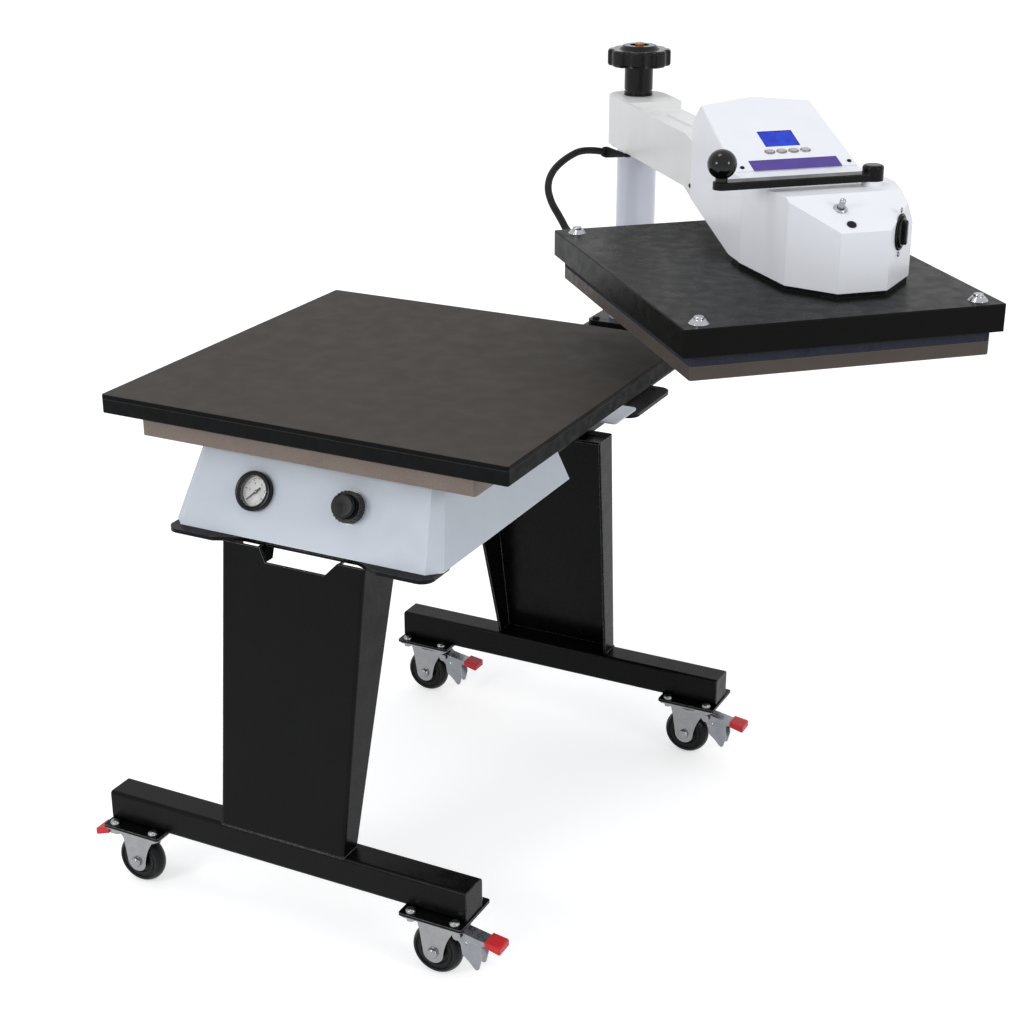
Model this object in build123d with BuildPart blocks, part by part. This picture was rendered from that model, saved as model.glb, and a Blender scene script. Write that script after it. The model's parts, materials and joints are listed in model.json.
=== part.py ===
from build123d import *
from math import cos, radians, sin, tan
import os

# Swing-away heat press on a wheeled stand.
# Millimetres, +Z up. The floor is z = 0 and the origin is under the middle of the whole machine.
# The operator stands at the front, on the -Y side. The column stands at the back.

# Lower table
table_x = -243
table_y = -168
table_width = 623
table_depth = 604
table_top = 726
pad_thickness = 7
plate_thickness = 20
board_bottom = 671
board_side_inset = 54
board_front_inset = 15
lift_stroke = 72

# Base under the table
base_bottom = 557
foot_plate_thickness = 6
skirt_top = 667
skirt_bottom_size = (419, 415)
skirt_top_size = (373, 307)
skirt_y = -263.5
sheet = 2
frame_thickness = 8
frame_front_width = 402
frame_front_y = (-463, -64)
frame_rear_width = 297
frame_rear_end = 567
front_foot_y = (-488, -414)
front_foot_width = 410
recess_halves = (128, 75)
rear_foot_y = (224, 382)
rear_foot_width = 367
rear_foot_hole_spacing = 312
rear_foot_hole_y = 364
mount_hole_radius = 5.5
cylinder_bottom = 500
guide_spacing = 150

# Column and arm
column_x = -187
column_y = 507
column_radius = 33
column_wall = 5
column_foot = 635
column_top = 968
base_plate_size = 120
rod_radius = 8
rod_top = 1098
sleeve_radius = 40
running_gap = 0.05
arm_bottom = 934
arm_top = 1013
arm_half_width = 48
arm_wall = 4
arm_front = 455

# Head, measured from the column axis: across to the right, and outward from the column
swing_angle = 42.745
platen_across = -54
platen_out = 670
cover_size = (430, 532)
cover_top = 895
cover_bottom = 859
platen_size = (406, 508)
platen_bottom = 826
platen_top = 844
stud_inset = (27, 25)
housing_bottom = 901
plateau_height = 1014

# Stand
foot_length = 582
foot_size = 45
foot_bottom = 105
foot_wall = 3
front_tube_left = -536.5
front_tube_y = -524.5
rear_tube_left = -462.5
rear_tube_y = 192.5
stand_centre = (-212, -166)
pedestal_top = base_bottom - foot_plate_thickness
pedestal_sheet = 4
pedestal_bottom_x = (-343, -143)
pedestal_top_x = (-361, -137)
pedestal_bottom_front = front_tube_y - foot_size / 2
pedestal_top_front = -480
pedestal_bottom_depth = 35
pedestal_left_depth = 47
pedestal_right_depth = 88

# Casters
wheel_radius = 37
wheel_width = 24
axle_radius = 4
plate_size = (96, 84)
bolt_spacing = (66, 64)
caster_inset = 46
pivot_radius = 2.5

# Heater cable
cable_radius = 5.5

os.makedirs("parts", exist_ok=True)

head_plane = Plane(
    origin=(column_x, column_y, 0),
    x_dir=(cos(radians(swing_angle)), sin(radians(swing_angle)), 0),
    z_dir=(0, 0, 1),
)


def at_head(height):
    """A horizontal plane in the head's frame, with X across and -Y outward from the column."""
    return head_plane.offset(height)


def head_point(across, out, height):
    """A world point given in the head's frame."""
    return head_plane.from_local_coords(Vector(across, -out, height))


# A vertical plane through the column axis, with X outward along the head
head_side = Plane(origin=(column_x, column_y, 0), x_dir=-head_plane.y_dir, z_dir=-head_plane.x_dir)


def plane_over(first, second, third):
    """The plane through three points of the head, with its normal upward."""
    a, b, c = [head_point(*point) for point in (first, second, third)]
    normal = (b - a).cross(c - a).normalized()
    if normal.Z < 0:
        normal = normal * -1
    return Plane(origin=a, z_dir=normal)


def save(piece, name):
    piece.part.label = name
    export_step(piece.part, f"parts/{name}.step")
    print(name, round(piece.part.volume / 1000, 1), "cm3")


# Foot tubes of the stand


def foot_tube(left, y):
    middle = left + foot_length / 2
    with BuildPart() as tube:
        with BuildSketch(Plane.YZ.offset(left)):
            with Locations((y, foot_bottom + foot_size / 2)):
                RectangleRounded(foot_size, foot_size, 5)
        extrude(amount=foot_length)
        ends = tube.faces().filter_by(Axis.X)
        chamfer(ends.edges(), length=1)
        with Locations((middle, y, foot_bottom + foot_size / 2)):
            Box(
                foot_length - 2 * foot_wall,
                foot_size - 2 * foot_wall,
                foot_size - 2 * foot_wall,
                mode=Mode.SUBTRACT,
            )
    return tube


front_foot_tube = foot_tube(front_tube_left, front_tube_y)
save(front_foot_tube, "front_foot_tube")

rear_foot_tube = foot_tube(rear_tube_left, rear_tube_y)
save(rear_foot_tube, "rear_foot_tube")

# Front pedestal: a bent channel that leans back, wider and deeper at its top

pedestal_foot = foot_bottom + foot_size
with BuildPart() as pedestal_outer:
    with BuildSketch(Plane.XY.offset(pedestal_foot)):
        with BuildLine():
            Polyline(
                (pedestal_bottom_x[0], pedestal_bottom_front),
                (pedestal_bottom_x[1], pedestal_bottom_front),
                (pedestal_bottom_x[1], pedestal_bottom_front + pedestal_bottom_depth),
                (pedestal_bottom_x[0], pedestal_bottom_front + pedestal_bottom_depth),
                close=True,
            )
        make_face()
    with BuildSketch(Plane.XY.offset(pedestal_top)):
        with BuildLine():
            Polyline(
                (pedestal_top_x[0], pedestal_top_front),
                (pedestal_top_x[1], pedestal_top_front),
                (pedestal_top_x[1], pedestal_top_front + pedestal_right_depth),
                (pedestal_top_x[0], pedestal_top_front + pedestal_right_depth),
                close=True,
            )
        make_face()
    loft()
    front_corners = pedestal_outer.edges().filter_by(lambda edge: edge.length > 300).group_by(Axis.Y)[0]
    fillet(front_corners, radius=5)

with BuildPart() as pedestal_inner:
    with BuildSketch(Plane.XY.offset(pedestal_foot)):
        with BuildLine():
            Polyline(
                (pedestal_bottom_x[0] + pedestal_sheet, pedestal_bottom_front + pedestal_sheet),
                (pedestal_bottom_x[1] - pedestal_sheet, pedestal_bottom_front + pedestal_sheet),
                (pedestal_bottom_x[1] - pedestal_sheet, pedestal_bottom_front + 160),
                (pedestal_bottom_x[0] + pedestal_sheet, pedestal_bottom_front + 160),
                close=True,
            )
        make_face()
    with BuildSketch(Plane.XY.offset(pedestal_top)):
        with BuildLine():
            Polyline(
                (pedestal_top_x[0] + pedestal_sheet, pedestal_top_front + pedestal_sheet),
                (pedestal_top_x[1] - pedestal_sheet, pedestal_top_front + pedestal_sheet),
                (pedestal_top_x[1] - pedestal_sheet, pedestal_top_front + 160),
                (pedestal_top_x[0] + pedestal_sheet, pedestal_top_front + 160),
                close=True,
            )
        make_face()
    loft()

lean = (pedestal_top_front - pedestal_bottom_front) / (pedestal_top - pedestal_foot)
notch_bottom = pedestal_top - 19
notch_front = pedestal_bottom_front + (notch_bottom - pedestal_foot) * lean
top_plate_start = -463
top_plate_end = front_foot_y[1] - 2
with BuildPart() as front_pedestal:
    add(pedestal_outer.part)
    add(pedestal_inner.part, mode=Mode.SUBTRACT)
    # The left flange is the narrower one
    with BuildSketch(Plane.YZ.offset(pedestal_top_x[0] - 5)):
        with BuildLine():
            Polyline(
                (pedestal_bottom_front + pedestal_bottom_depth, pedestal_foot),
                (pedestal_top_front + pedestal_left_depth, pedestal_top),
                (pedestal_top_front + 160, pedestal_top),
                (pedestal_top_front + 160, pedestal_foot),
                close=True,
            )
        make_face()
    extrude(amount=60, mode=Mode.SUBTRACT)
    # Notch in the top of the web
    with BuildSketch(Plane.XZ.offset(-pedestal_top_front - 10)):
        with BuildLine():
            Polyline(
                (-301, pedestal_top + 1),
                (-178, pedestal_top + 1),
                (-197, notch_bottom),
                (-290, notch_bottom),
                close=True,
            )
        make_face()
    extrude(amount=30, mode=Mode.SUBTRACT)
    # Tabs folded back from the sides of the notch
    with BuildSketch(Plane.XZ.offset(-notch_front)):
        with BuildLine():
            Polyline(
                (-290, notch_bottom),
                (-301, pedestal_top),
                (-305, pedestal_top),
                (-294, notch_bottom),
                close=True,
            )
        make_face()
        with BuildLine():
            Polyline(
                (-197, notch_bottom),
                (-178, pedestal_top),
                (-174, pedestal_top),
                (-193, notch_bottom),
                close=True,
            )
        make_face()
    extrude(amount=-44)
    with BuildSketch(Plane.YZ.offset(-306)):
        with BuildLine():
            Polyline(
                (notch_front + 19, notch_bottom),
                (pedestal_top_front + 40, pedestal_top),
                (pedestal_top_front + 60, pedestal_top),
                (pedestal_top_front + 60, notch_bottom),
                close=True,
            )
        make_face()
        with BuildLine():
            Polyline(
                (notch_front - 10, notch_bottom),
                (notch_front, notch_bottom),
                (pedestal_top_front, pedestal_top),
                (pedestal_top_front - 10, pedestal_top),
                close=True,
            )
        make_face()
    extrude(amount=133, mode=Mode.SUBTRACT)
    # Flat plate between the flanges that carries the base of the press
    with BuildSketch(Plane.XY.offset(pedestal_top - pedestal_sheet)):
        with BuildLine():
            Polyline(
                (pedestal_top_x[0] + 2, top_plate_start),
                (pedestal_top_x[1] - 2, top_plate_start),
                (pedestal_top_x[1] - 2, top_plate_end),
                (pedestal_top_x[0] + 2, pedestal_top_front + pedestal_left_depth),
                close=True,
            )
        make_face()
    extrude(amount=pedestal_sheet)
save(front_pedestal, "front_pedestal")

turned = front_pedestal.part.rotate(Axis((*stand_centre, 0), (0, 0, 1)), 180)
with BuildPart() as rear_pedestal:
    add(turned)
save(rear_pedestal, "rear_pedestal")

# Casters: swivel axes at the ends of both foot tubes, brake to the outside where it shows.
# Each has its place, the turn of its brake, its axle and pedal pivot from the swivel axis
# towards the brake, the reach of its lever, and the side on which its legs curve in.

caster_places = {
    "front_left": (front_tube_left + caster_inset, front_tube_y, 180),
    "front_right": (front_tube_left + foot_length - caster_inset, front_tube_y, 0),
    "rear_left": (rear_tube_left + caster_inset, rear_tube_y, 0),
    "rear_right": (rear_tube_left + foot_length - caster_inset, rear_tube_y, 0),
}
axle_out = {"front_left": 14, "front_right": -10, "rear_left": -10, "rear_right": -10}
pedal_pivots = {
    "front_left": (34, 79),
    "front_right": (26, 74),
    "rear_left": (26, 74),
    "rear_right": (26, 74),
}
lever_reach = {"front_left": 78.5, "front_right": 82, "rear_left": 82, "rear_right": 82}
curved_side = {"front_left": -1, "front_right": 1, "rear_left": 1, "rear_right": 1}
mount_plate_bottom = foot_bottom - 4
caster_plate_bottom = mount_plate_bottom - 3
race_bottom = caster_plate_bottom - 9
crown_top = race_bottom - 0.5
bolt_points = [
    (x + dx * bolt_spacing[0] / 2, y + dy * bolt_spacing[1] / 2)
    for x, y, turn in caster_places.values()
    for dx in (-1, 1)
    for dy in (-1, 1)
]
caster_points = [(x, y) for x, y, turn in caster_places.values()]

with BuildPart() as caster_mount_plates:
    with BuildSketch(Plane.XY.offset(mount_plate_bottom)):
        with Locations(*caster_points):
            RectangleRounded(plate_size[0], plate_size[1], 4)
        with Locations(*bolt_points):
            Circle(4.3, mode=Mode.SUBTRACT)
    extrude(amount=4)
save(caster_mount_plates, "caster_mount_plates")

with BuildPart() as caster_top_plates:
    with BuildSketch(Plane.XY.offset(caster_plate_bottom)):
        with Locations(*caster_points):
            RectangleRounded(plate_size[0] - 4, plate_size[1] - 4, 6)
        with Locations(*bolt_points):
            Circle(4.3, mode=Mode.SUBTRACT)
    extrude(amount=3)
    with BuildSketch(Plane.XY.offset(caster_plate_bottom)):
        with Locations(*caster_points):
            Circle(23)
    extrude(amount=-9, taper=12)
    # Kingpins that the forks turn on
    with BuildSketch(Plane.XY.offset(race_bottom)):
        with Locations(*caster_points):
            Circle(5)
    extrude(amount=-7)
save(caster_top_plates, "caster_top_plates")

with BuildPart() as caster_bolts:
    with BuildSketch(Plane.XY.offset(caster_plate_bottom)):
        with Locations(*bolt_points):
            Circle(4)
    extrude(amount=7)
    # Domed heads above, nuts below
    with BuildSketch(Plane.XY.offset(foot_bottom)):
        with Locations(*bolt_points):
            Circle(7.5)
    extrude(amount=6)
    fillet(caster_bolts.faces().filter_by(Axis.Z).group_by(Axis.Z)[-1].edges(), radius=4.5)
    with BuildSketch(Plane.XY.offset(caster_plate_bottom)):
        with Locations(*bolt_points):
            RegularPolygon(7, 6)
    extrude(amount=-5)
save(caster_bolts, "caster_bolts")


def caster_plane(place):
    """The upright plane through a caster's wheel, with X towards its brake and Y up."""
    x, y, turn = place
    direction = (cos(radians(turn)), sin(radians(turn)), 0)
    side = (sin(radians(turn)), -cos(radians(turn)), 0)
    return Plane(origin=(x, y, 0), x_dir=direction, z_dir=side)


leg_inner = wheel_width / 2 + 1.5
leg_thickness = 2.5
crown_bottom = crown_top - leg_thickness
nut_radius = 8
hub = 15.5
for corner, place in caster_places.items():
    side_plane = caster_plane(place)
    centre = place[:2]
    axle = axle_out[corner]
    pedal_pivot = pedal_pivots[corner]
    side = curved_side[corner]

    # Fork with its crown, axle with domed nuts, and the pin of the brake pedal
    with BuildPart() as fork:
        with BuildSketch(side_plane.offset(leg_inner), side_plane.offset(-leg_inner - leg_thickness)):
            with BuildLine():
                ThreePointArc(
                    (axle - side * hub, wheel_radius),
                    (axle, wheel_radius - hub),
                    (axle + side * hub, wheel_radius),
                )
                ThreePointArc(
                    (axle + side * hub, wheel_radius),
                    (axle + side * 24, 65),
                    (axle + side * 42, crown_top),
                )
                Polyline(
                    (axle + side * 42, crown_top),
                    (axle - side * 26, crown_top),
                    (axle - side * 20, 66),
                    (axle - side * hub, wheel_radius),
                )
            make_face()
            with Locations(pedal_pivot):
                Circle(6)
        extrude(amount=leg_thickness)
        with BuildSketch(Plane.XY.offset(crown_bottom)):
            with Locations(centre):
                Circle(27)
        extrude(amount=leg_thickness)
        with BuildSketch(side_plane.offset(-leg_inner)):
            with Locations((axle + side * 8, crown_bottom + leg_thickness / 2)):
                Rectangle(68, leg_thickness)
        extrude(amount=2 * leg_inner)
        with BuildSketch(Plane.XY.offset(crown_bottom)):
            with Locations(centre):
                Circle(5 + running_gap)
        extrude(amount=leg_thickness, mode=Mode.SUBTRACT)
        with BuildSketch(side_plane.offset(-leg_inner)):
            with Locations((axle, wheel_radius)):
                Circle(axle_radius)
            with Locations(pedal_pivot):
                Circle(pivot_radius)
        extrude(amount=2 * leg_inner)
        outer_side = side_plane.offset(leg_inner + leg_thickness)
        far_side = Plane(
            origin=side_plane.offset(-leg_inner - leg_thickness).origin,
            x_dir=side_plane.x_dir,
            z_dir=-side_plane.z_dir,
        )
        with BuildSketch(outer_side):
            with Locations((axle, wheel_radius)):
                Circle(nut_radius)
        extrude(amount=6)
        with BuildSketch(far_side):
            with Locations((axle, -wheel_radius)):
                Circle(nut_radius)
        extrude(amount=6)
        nut_ends = fork.faces().filter_by(Axis(side_plane.origin, side_plane.z_dir))
        nut_ends = nut_ends.sort_by(Axis(side_plane.origin, side_plane.z_dir))
        fillet(nut_ends[-1].edges(), radius=4.5)
        fillet(nut_ends[0].edges(), radius=4.5)
    save(fork, f"caster_fork_{corner}")

    # Wheel with a rounded tread, a dished side and a bore for the axle
    axle_end = side_plane.from_local_coords(Vector(axle, wheel_radius, 0))
    wheel_plane = Plane(origin=axle_end, x_dir=side_plane.x_dir, z_dir=side_plane.z_dir)
    bore_radius = axle_radius + running_gap
    half_width = wheel_width / 2
    section = Plane(origin=axle_end, x_dir=side_plane.x_dir, z_dir=-side_plane.y_dir)
    with BuildPart() as wheel:
        with BuildSketch(section):
            with BuildLine():
                Polyline(
                    (bore_radius, -half_width),
                    (9, -half_width),
                    (11, -half_width + 4),
                    (19, -half_width + 4),
                    (21, -half_width + 1.5),
                    (25, -half_width + 1.5),
                    (26, -half_width + 3),
                    (28, -half_width + 3),
                    (29, -half_width + 1),
                    (wheel_radius - 5, -half_width + 1),
                )
                ThreePointArc(
                    (wheel_radius - 5, -half_width + 1),
                    (wheel_radius, 0),
                    (wheel_radius - 5, half_width - 1),
                )
                Polyline(
                    (wheel_radius - 5, half_width - 1),
                    (29, half_width - 1),
                    (28, half_width - 3),
                    (26, half_width - 3),
                    (25, half_width - 1.5),
                    (21, half_width - 1.5),
                    (19, half_width - 4),
                    (11, half_width - 4),
                    (9, half_width),
                    (bore_radius, half_width),
                    (bore_radius, -half_width),
                )
            make_face()
        revolve(axis=Axis(axle_end, side_plane.z_dir), revolution_arc=360)
    save(wheel, f"caster_wheel_{corner}")

    # Brake pedal: barrel, sloping lever between two cheeks, and its end cap
    step = pedal_pivot[0] - 26
    lift = pedal_pivot[1] - 74
    reach = lever_reach[corner]
    lever_drop = (9.1 + lift) / (reach - 30 - step)
    pocket_start = 70.2 + 22 * lever_drop
    with BuildPart() as pedal:
        with BuildSketch(side_plane.offset(-11)):
            with Locations(pedal_pivot):
                Circle(5)
            with BuildLine():
                Polyline(
                    (24 + step, 78 + lift),
                    (30 + step, 79.3 + lift),
                    (reach, 70.2),
                    (reach - 0.5, 67.7),
                    (30 + step, 76.6 + lift),
                    close=True,
                )
            make_face()
        extrude(amount=22)
        with BuildSketch(side_plane.offset(9), side_plane.offset(-11)):
            with Locations(pedal_pivot):
                Circle(6)
            if corner == "front_left":
                # Short cheeks
                with BuildLine():
                    Polyline((34, 85), (62, 75), (62, 69), (50, 70), (38, 74.6), close=True)
                make_face()
            else:
                # Cheeks with a long tail behind the wheel
                with BuildLine():
                    Polyline(
                        (26, 80),
                        (66, 73),
                        (66, 67.5),
                        (59.5, 65),
                        (61.5, 45),
                        (57.5, 28),
                        (54, 25.5),
                        (50.5, 27.5),
                        (43, 36),
                        (32.5, 44.5),
                        (30, 60),
                        (20.8, 71),
                        close=True,
                    )
                make_face()
                with Locations((38, 64)):
                    Circle(2, mode=Mode.SUBTRACT)
        extrude(amount=2)
        with BuildSketch(side_plane.offset(-12)):
            with Locations(pedal_pivot):
                Circle(pivot_radius + running_gap)
        extrude(amount=24, mode=Mode.SUBTRACT)
        # Cap pushed over the end of the lever, with a thin gap left for its glue
        with BuildSketch(side_plane.offset(-13)):
            with BuildLine():
                Polyline(
                    (reach - 14.5, 72.5 + 14.5 * lever_drop),
                    (reach + 7, 71.8),
                    (reach + 8.5, 64),
                    (reach + 6, 62.6),
                    (reach - 14.5, 65 + 14.5 * lever_drop),
                    close=True,
                )
            make_face()
            with BuildLine():
                Polyline(
                    (reach - 22, pocket_start + 0.5),
                    (reach + 0.4, 70.7),
                    (reach - 0.2, 67),
                    (reach - 22, pocket_start - 3.3),
                    close=True,
                )
            make_face(mode=Mode.SUBTRACT)
        extrude(amount=26)
    save(pedal, f"brake_pedal_{corner}")

# Base of the press: feet, frame, skirt

foot_plate_bottom = base_bottom - foot_plate_thickness
with BuildPart() as rear_base_foot:
    with BuildSketch(Plane.XY.offset(foot_plate_bottom)):
        with Locations((table_x, sum(rear_foot_y) / 2)):
            RectangleRounded(rear_foot_width, rear_foot_y[1] - rear_foot_y[0], 20)
        with Locations((table_x, rear_foot_hole_y)):
            with GridLocations(rear_foot_hole_spacing, 1, 2, 1):
                Circle(mount_hole_radius, mode=Mode.SUBTRACT)
    extrude(amount=foot_plate_thickness)
save(rear_base_foot, "rear_base_foot")

riser_bottom = base_bottom + frame_thickness
riser_top = column_foot - 10
riser_size = (134, 120)
guide_points = [(table_x - guide_spacing / 2, table_y), (table_x + guide_spacing / 2, table_y)]
guide_radius = 8
cylinder_radius = 40
with BuildPart() as front_frame_plate:
    # Front foot plate under the frame plate
    with BuildSketch(Plane.XY.offset(foot_plate_bottom)):
        with Locations((table_x, sum(front_foot_y) / 2)):
            RectangleRounded(front_foot_width, front_foot_y[1] - front_foot_y[0], 18)
        # Recess between the two lobes
        with BuildLine():
            Polyline(
                (table_x - recess_halves[0], front_foot_y[0]),
                (table_x - recess_halves[1], frame_front_y[0]),
                (table_x + recess_halves[1], frame_front_y[0]),
                (table_x + recess_halves[0], front_foot_y[0]),
                close=True,
            )
        make_face(mode=Mode.SUBTRACT)
    extrude(amount=foot_plate_thickness)
    # Frame plate
    with BuildSketch(Plane.XY.offset(base_bottom)):
        with BuildLine():
            Polyline(
                (table_x - frame_front_width / 2 + 14, frame_front_y[0]),
                (table_x + frame_front_width / 2 - 14, frame_front_y[0]),
                (table_x + frame_front_width / 2, frame_front_y[0] + 14),
                (table_x + frame_front_width / 2, frame_front_y[1] - 14),
                (table_x + frame_front_width / 2 - 14, frame_front_y[1]),
                (table_x - frame_front_width / 2 + 14, frame_front_y[1]),
                (table_x - frame_front_width / 2, frame_front_y[1] - 14),
                (table_x - frame_front_width / 2, frame_front_y[0] + 14),
                close=True,
            )
        make_face()
        with Locations((table_x, table_y)):
            Circle(cylinder_radius + 1, mode=Mode.SUBTRACT)
    extrude(amount=frame_thickness)
    # Bushings for the table's guide rods
    with BuildSketch(Plane.XY.offset(riser_bottom)):
        with Locations(*guide_points):
            Circle(15)
    extrude(amount=45)
    with BuildSketch(Plane.XY.offset(base_bottom)):
        with Locations(*guide_points):
            Circle(guide_radius + running_gap)
    extrude(amount=60, mode=Mode.SUBTRACT)
save(front_frame_plate, "front_frame_plate")

cross_plate_x = (-426, -60)
cross_plate_y = (151, 235)
cross_plate_thickness = 3
with BuildPart() as rear_frame_plate:
    with BuildSketch(Plane.XY.offset(base_bottom)):
        with Locations((table_x, (frame_front_y[1] + frame_rear_end) / 2)):
            Rectangle(frame_rear_width, frame_rear_end - frame_front_y[1])
    extrude(amount=frame_thickness)
    # Packing strip over the rear pedestal
    with BuildSketch(Plane.XY.offset(foot_plate_bottom)):
        with Locations((table_x, 170)):
            Rectangle(frame_rear_width, 90)
    extrude(amount=foot_plate_thickness)
    # Wider light plate across the top
    with BuildSketch(Plane.XY.offset(riser_bottom)):
        with Locations((sum(cross_plate_x) / 2, sum(cross_plate_y) / 2)):
            RectangleRounded(
                cross_plate_x[1] - cross_plate_x[0],
                cross_plate_y[1] - cross_plate_y[0],
                6,
            )
    extrude(amount=cross_plate_thickness)
save(rear_frame_plate, "rear_frame_plate")


def skirt_block(shrink):
    """A solid that tapers upward, with cut corners."""
    with BuildPart() as block:
        with BuildSketch(Plane.XY.offset(base_bottom)) as lower:
            with Locations((table_x, skirt_y)):
                Rectangle(skirt_bottom_size[0] - 2 * shrink, skirt_bottom_size[1] - 2 * shrink)
            chamfer(lower.vertices(), length=18)
        with BuildSketch(Plane.XY.offset(skirt_top)) as upper:
            with Locations((table_x, skirt_y)):
                Rectangle(skirt_top_size[0] - 2 * shrink, skirt_top_size[1] - 2 * shrink)
            chamfer(upper.vertices(), length=12)
        loft()
    return block


panel_rise = skirt_top - base_bottom
panel_run = (skirt_bottom_size[1] - skirt_top_size[1]) / 2
skirt_front = skirt_y - skirt_bottom_size[1] / 2
front_normal = Vector(0, -panel_rise, panel_run).normalized()


def front_panel_plane(x, height):
    """The skirt's sloping front at one place, facing out, with X to the right."""
    y = skirt_front + (height - base_bottom) * panel_run / panel_rise
    return Plane(origin=(x, y, height), x_dir=(1, 0, 0), z_dir=front_normal)


gauge_plane = front_panel_plane(-326, 614)
regulator_plane = front_panel_plane(-176, 617)
gauge_radius = 27
dial_radius = 21
gauge_cup_radius = 24
regulator_radius = 18

# The air inlet goes straight back through the skirt's sloping back
inlet_x = -95
inlet_height = 600
skirt_back = skirt_y + skirt_bottom_size[1] / 2 - (inlet_height - base_bottom) * panel_run / panel_rise
inlet_plane = Plane(origin=(inlet_x, skirt_back, inlet_height), x_dir=(-1, 0, 0), z_dir=(0, 1, 0))
back_plane = Plane(
    origin=inlet_plane.origin,
    x_dir=(-1, 0, 0),
    z_dir=Vector(0, panel_rise, panel_run).normalized(),
)

skirt_outer = skirt_block(0)
skirt_inner = skirt_block(sheet)
with BuildPart() as base_skirt:
    add(skirt_outer.part)
    add(skirt_inner.part, mode=Mode.SUBTRACT)
    with BuildSketch(gauge_plane.offset(-5)):
        Circle(gauge_cup_radius + 0.5)
    extrude(amount=10, mode=Mode.SUBTRACT)
    with BuildSketch(regulator_plane.offset(-5)):
        Circle(regulator_radius + 0.5)
    extrude(amount=10, mode=Mode.SUBTRACT)
    # Air inlet hole in the back
    with BuildSketch(inlet_plane.offset(-15)):
        Circle(8.5)
    extrude(amount=30, mode=Mode.SUBTRACT)
    # Cut-out over the rear part of the base frame
    with Locations((table_x, skirt_y + skirt_bottom_size[1] / 2, base_bottom)):
        Box(frame_rear_width, 60, 2 * frame_thickness, mode=Mode.SUBTRACT)
save(base_skirt, "base_skirt")

inlet_bore = 5.7
with BuildPart() as air_inlet_fitting:
    # Hexagon that sits on the sloping sheet
    with BuildSketch(inlet_plane.offset(-7)):
        RegularPolygon(12, 6)
    extrude(amount=19)
    split(bisect_by=back_plane, keep=Keep.TOP)
    with BuildSketch(inlet_plane.offset(-18)):
        Circle(8)
    extrude(amount=20)
    with BuildSketch(inlet_plane.offset(-2)):
        Circle(inlet_bore)
    extrude(amount=16, mode=Mode.SUBTRACT)
save(air_inlet_fitting, "air_inlet_fitting")

# Pressure gauge

dial_back = -3
with BuildPart() as gauge_case:
    with BuildSketch(gauge_plane.offset(-24)):
        Circle(gauge_cup_radius)
    extrude(amount=24)
    with BuildSketch(gauge_plane):
        Circle(gauge_radius)
    extrude(amount=10)
    chamfer(gauge_case.faces().sort_by(Axis(gauge_plane.origin, gauge_plane.z_dir))[-1].edges(), 2)
    with BuildSketch(gauge_plane.offset(dial_back)):
        Circle(dial_radius)
    extrude(amount=14, mode=Mode.SUBTRACT)
save(gauge_case, "gauge_case")

with BuildPart() as gauge_dial:
    with BuildSketch(gauge_plane.offset(dial_back)):
        Circle(dial_radius - 0.1)
    extrude(amount=1)
    with BuildSketch(gauge_plane.offset(dial_back + 1)):
        Circle(1)
    extrude(amount=4)
save(gauge_dial, "gauge_dial")

# Needle: points to the lower left at rest, with a short tail
needle_angle = 225
with BuildPart() as gauge_needle:
    with BuildSketch(gauge_plane.offset(0)):
        with BuildLine():
            Polyline((-8, -1.2), (-8, 1.2), (0, 1.2), (17, 0.3), (17, -0.3), (0, -1.2), close=True)
        make_face()
        Circle(2.6)
    extrude(amount=1)
    with BuildSketch(gauge_plane.offset(-1)):
        Circle(1 + running_gap)
    extrude(amount=3, mode=Mode.SUBTRACT)
gauge_axis = Axis(gauge_plane.origin, gauge_plane.z_dir)
needle_turned = gauge_needle.part.rotate(gauge_axis, needle_angle)
with BuildPart() as gauge_needle:
    add(needle_turned)
save(gauge_needle, "gauge_needle")

# Pressure regulator

spindle_radius = 4
with BuildPart() as regulator_body:
    with BuildSketch(regulator_plane.offset(-46)):
        Circle(regulator_radius)
    extrude(amount=46)
    with BuildSketch(regulator_plane):
        Circle(22)
    extrude(amount=4)
    with BuildSketch(regulator_plane.offset(4)):
        Circle(spindle_radius)
    extrude(amount=16)
save(regulator_body, "regulator_body")

rib_count = 24
with BuildPart() as regulator_knob:
    with BuildSketch(regulator_plane.offset(5)):
        Circle(20.5)
        with PolarLocations(20.5, rib_count):
            Circle(1.1)
    extrude(amount=13)
    with BuildSketch(regulator_plane.offset(18)):
        Circle(17)
    extrude(amount=11, taper=4)
    knob_end = regulator_knob.faces().sort_by(Axis(regulator_plane.origin, regulator_plane.z_dir))[-1]
    fillet(knob_end.edges(), 2)
    with BuildSketch(regulator_plane.offset(4)):
        Circle(spindle_radius + running_gap)
    extrude(amount=17, mode=Mode.SUBTRACT)
save(regulator_knob, "regulator_knob")

# Air cylinder, piston with the lift plate, guide rods

bore_radius_cylinder = 32
rod_radius_piston = 10
cylinder_top = 645
lift_plate_bottom = 659
lift_plate_size = (260, 108)
with BuildPart() as air_cylinder:
    with BuildSketch(Plane.XY.offset(cylinder_bottom)):
        with Locations((table_x, table_y)):
            Circle(cylinder_radius)
    extrude(amount=cylinder_top - cylinder_bottom)
    with BuildSketch(Plane.XY.offset(riser_bottom)):
        with Locations((table_x, table_y)):
            Circle(54)
    extrude(amount=8)
    with BuildSketch(Plane.XY.offset(cylinder_bottom + 8)):
        with Locations((table_x, table_y)):
            Circle(bore_radius_cylinder)
    extrude(amount=cylinder_top - cylinder_bottom - 18, mode=Mode.SUBTRACT)
    with BuildSketch(Plane.XY.offset(cylinder_top - 12)):
        with Locations((table_x, table_y)):
            Circle(rod_radius_piston + running_gap)
    extrude(amount=14, mode=Mode.SUBTRACT)
save(air_cylinder, "air_cylinder")

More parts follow.
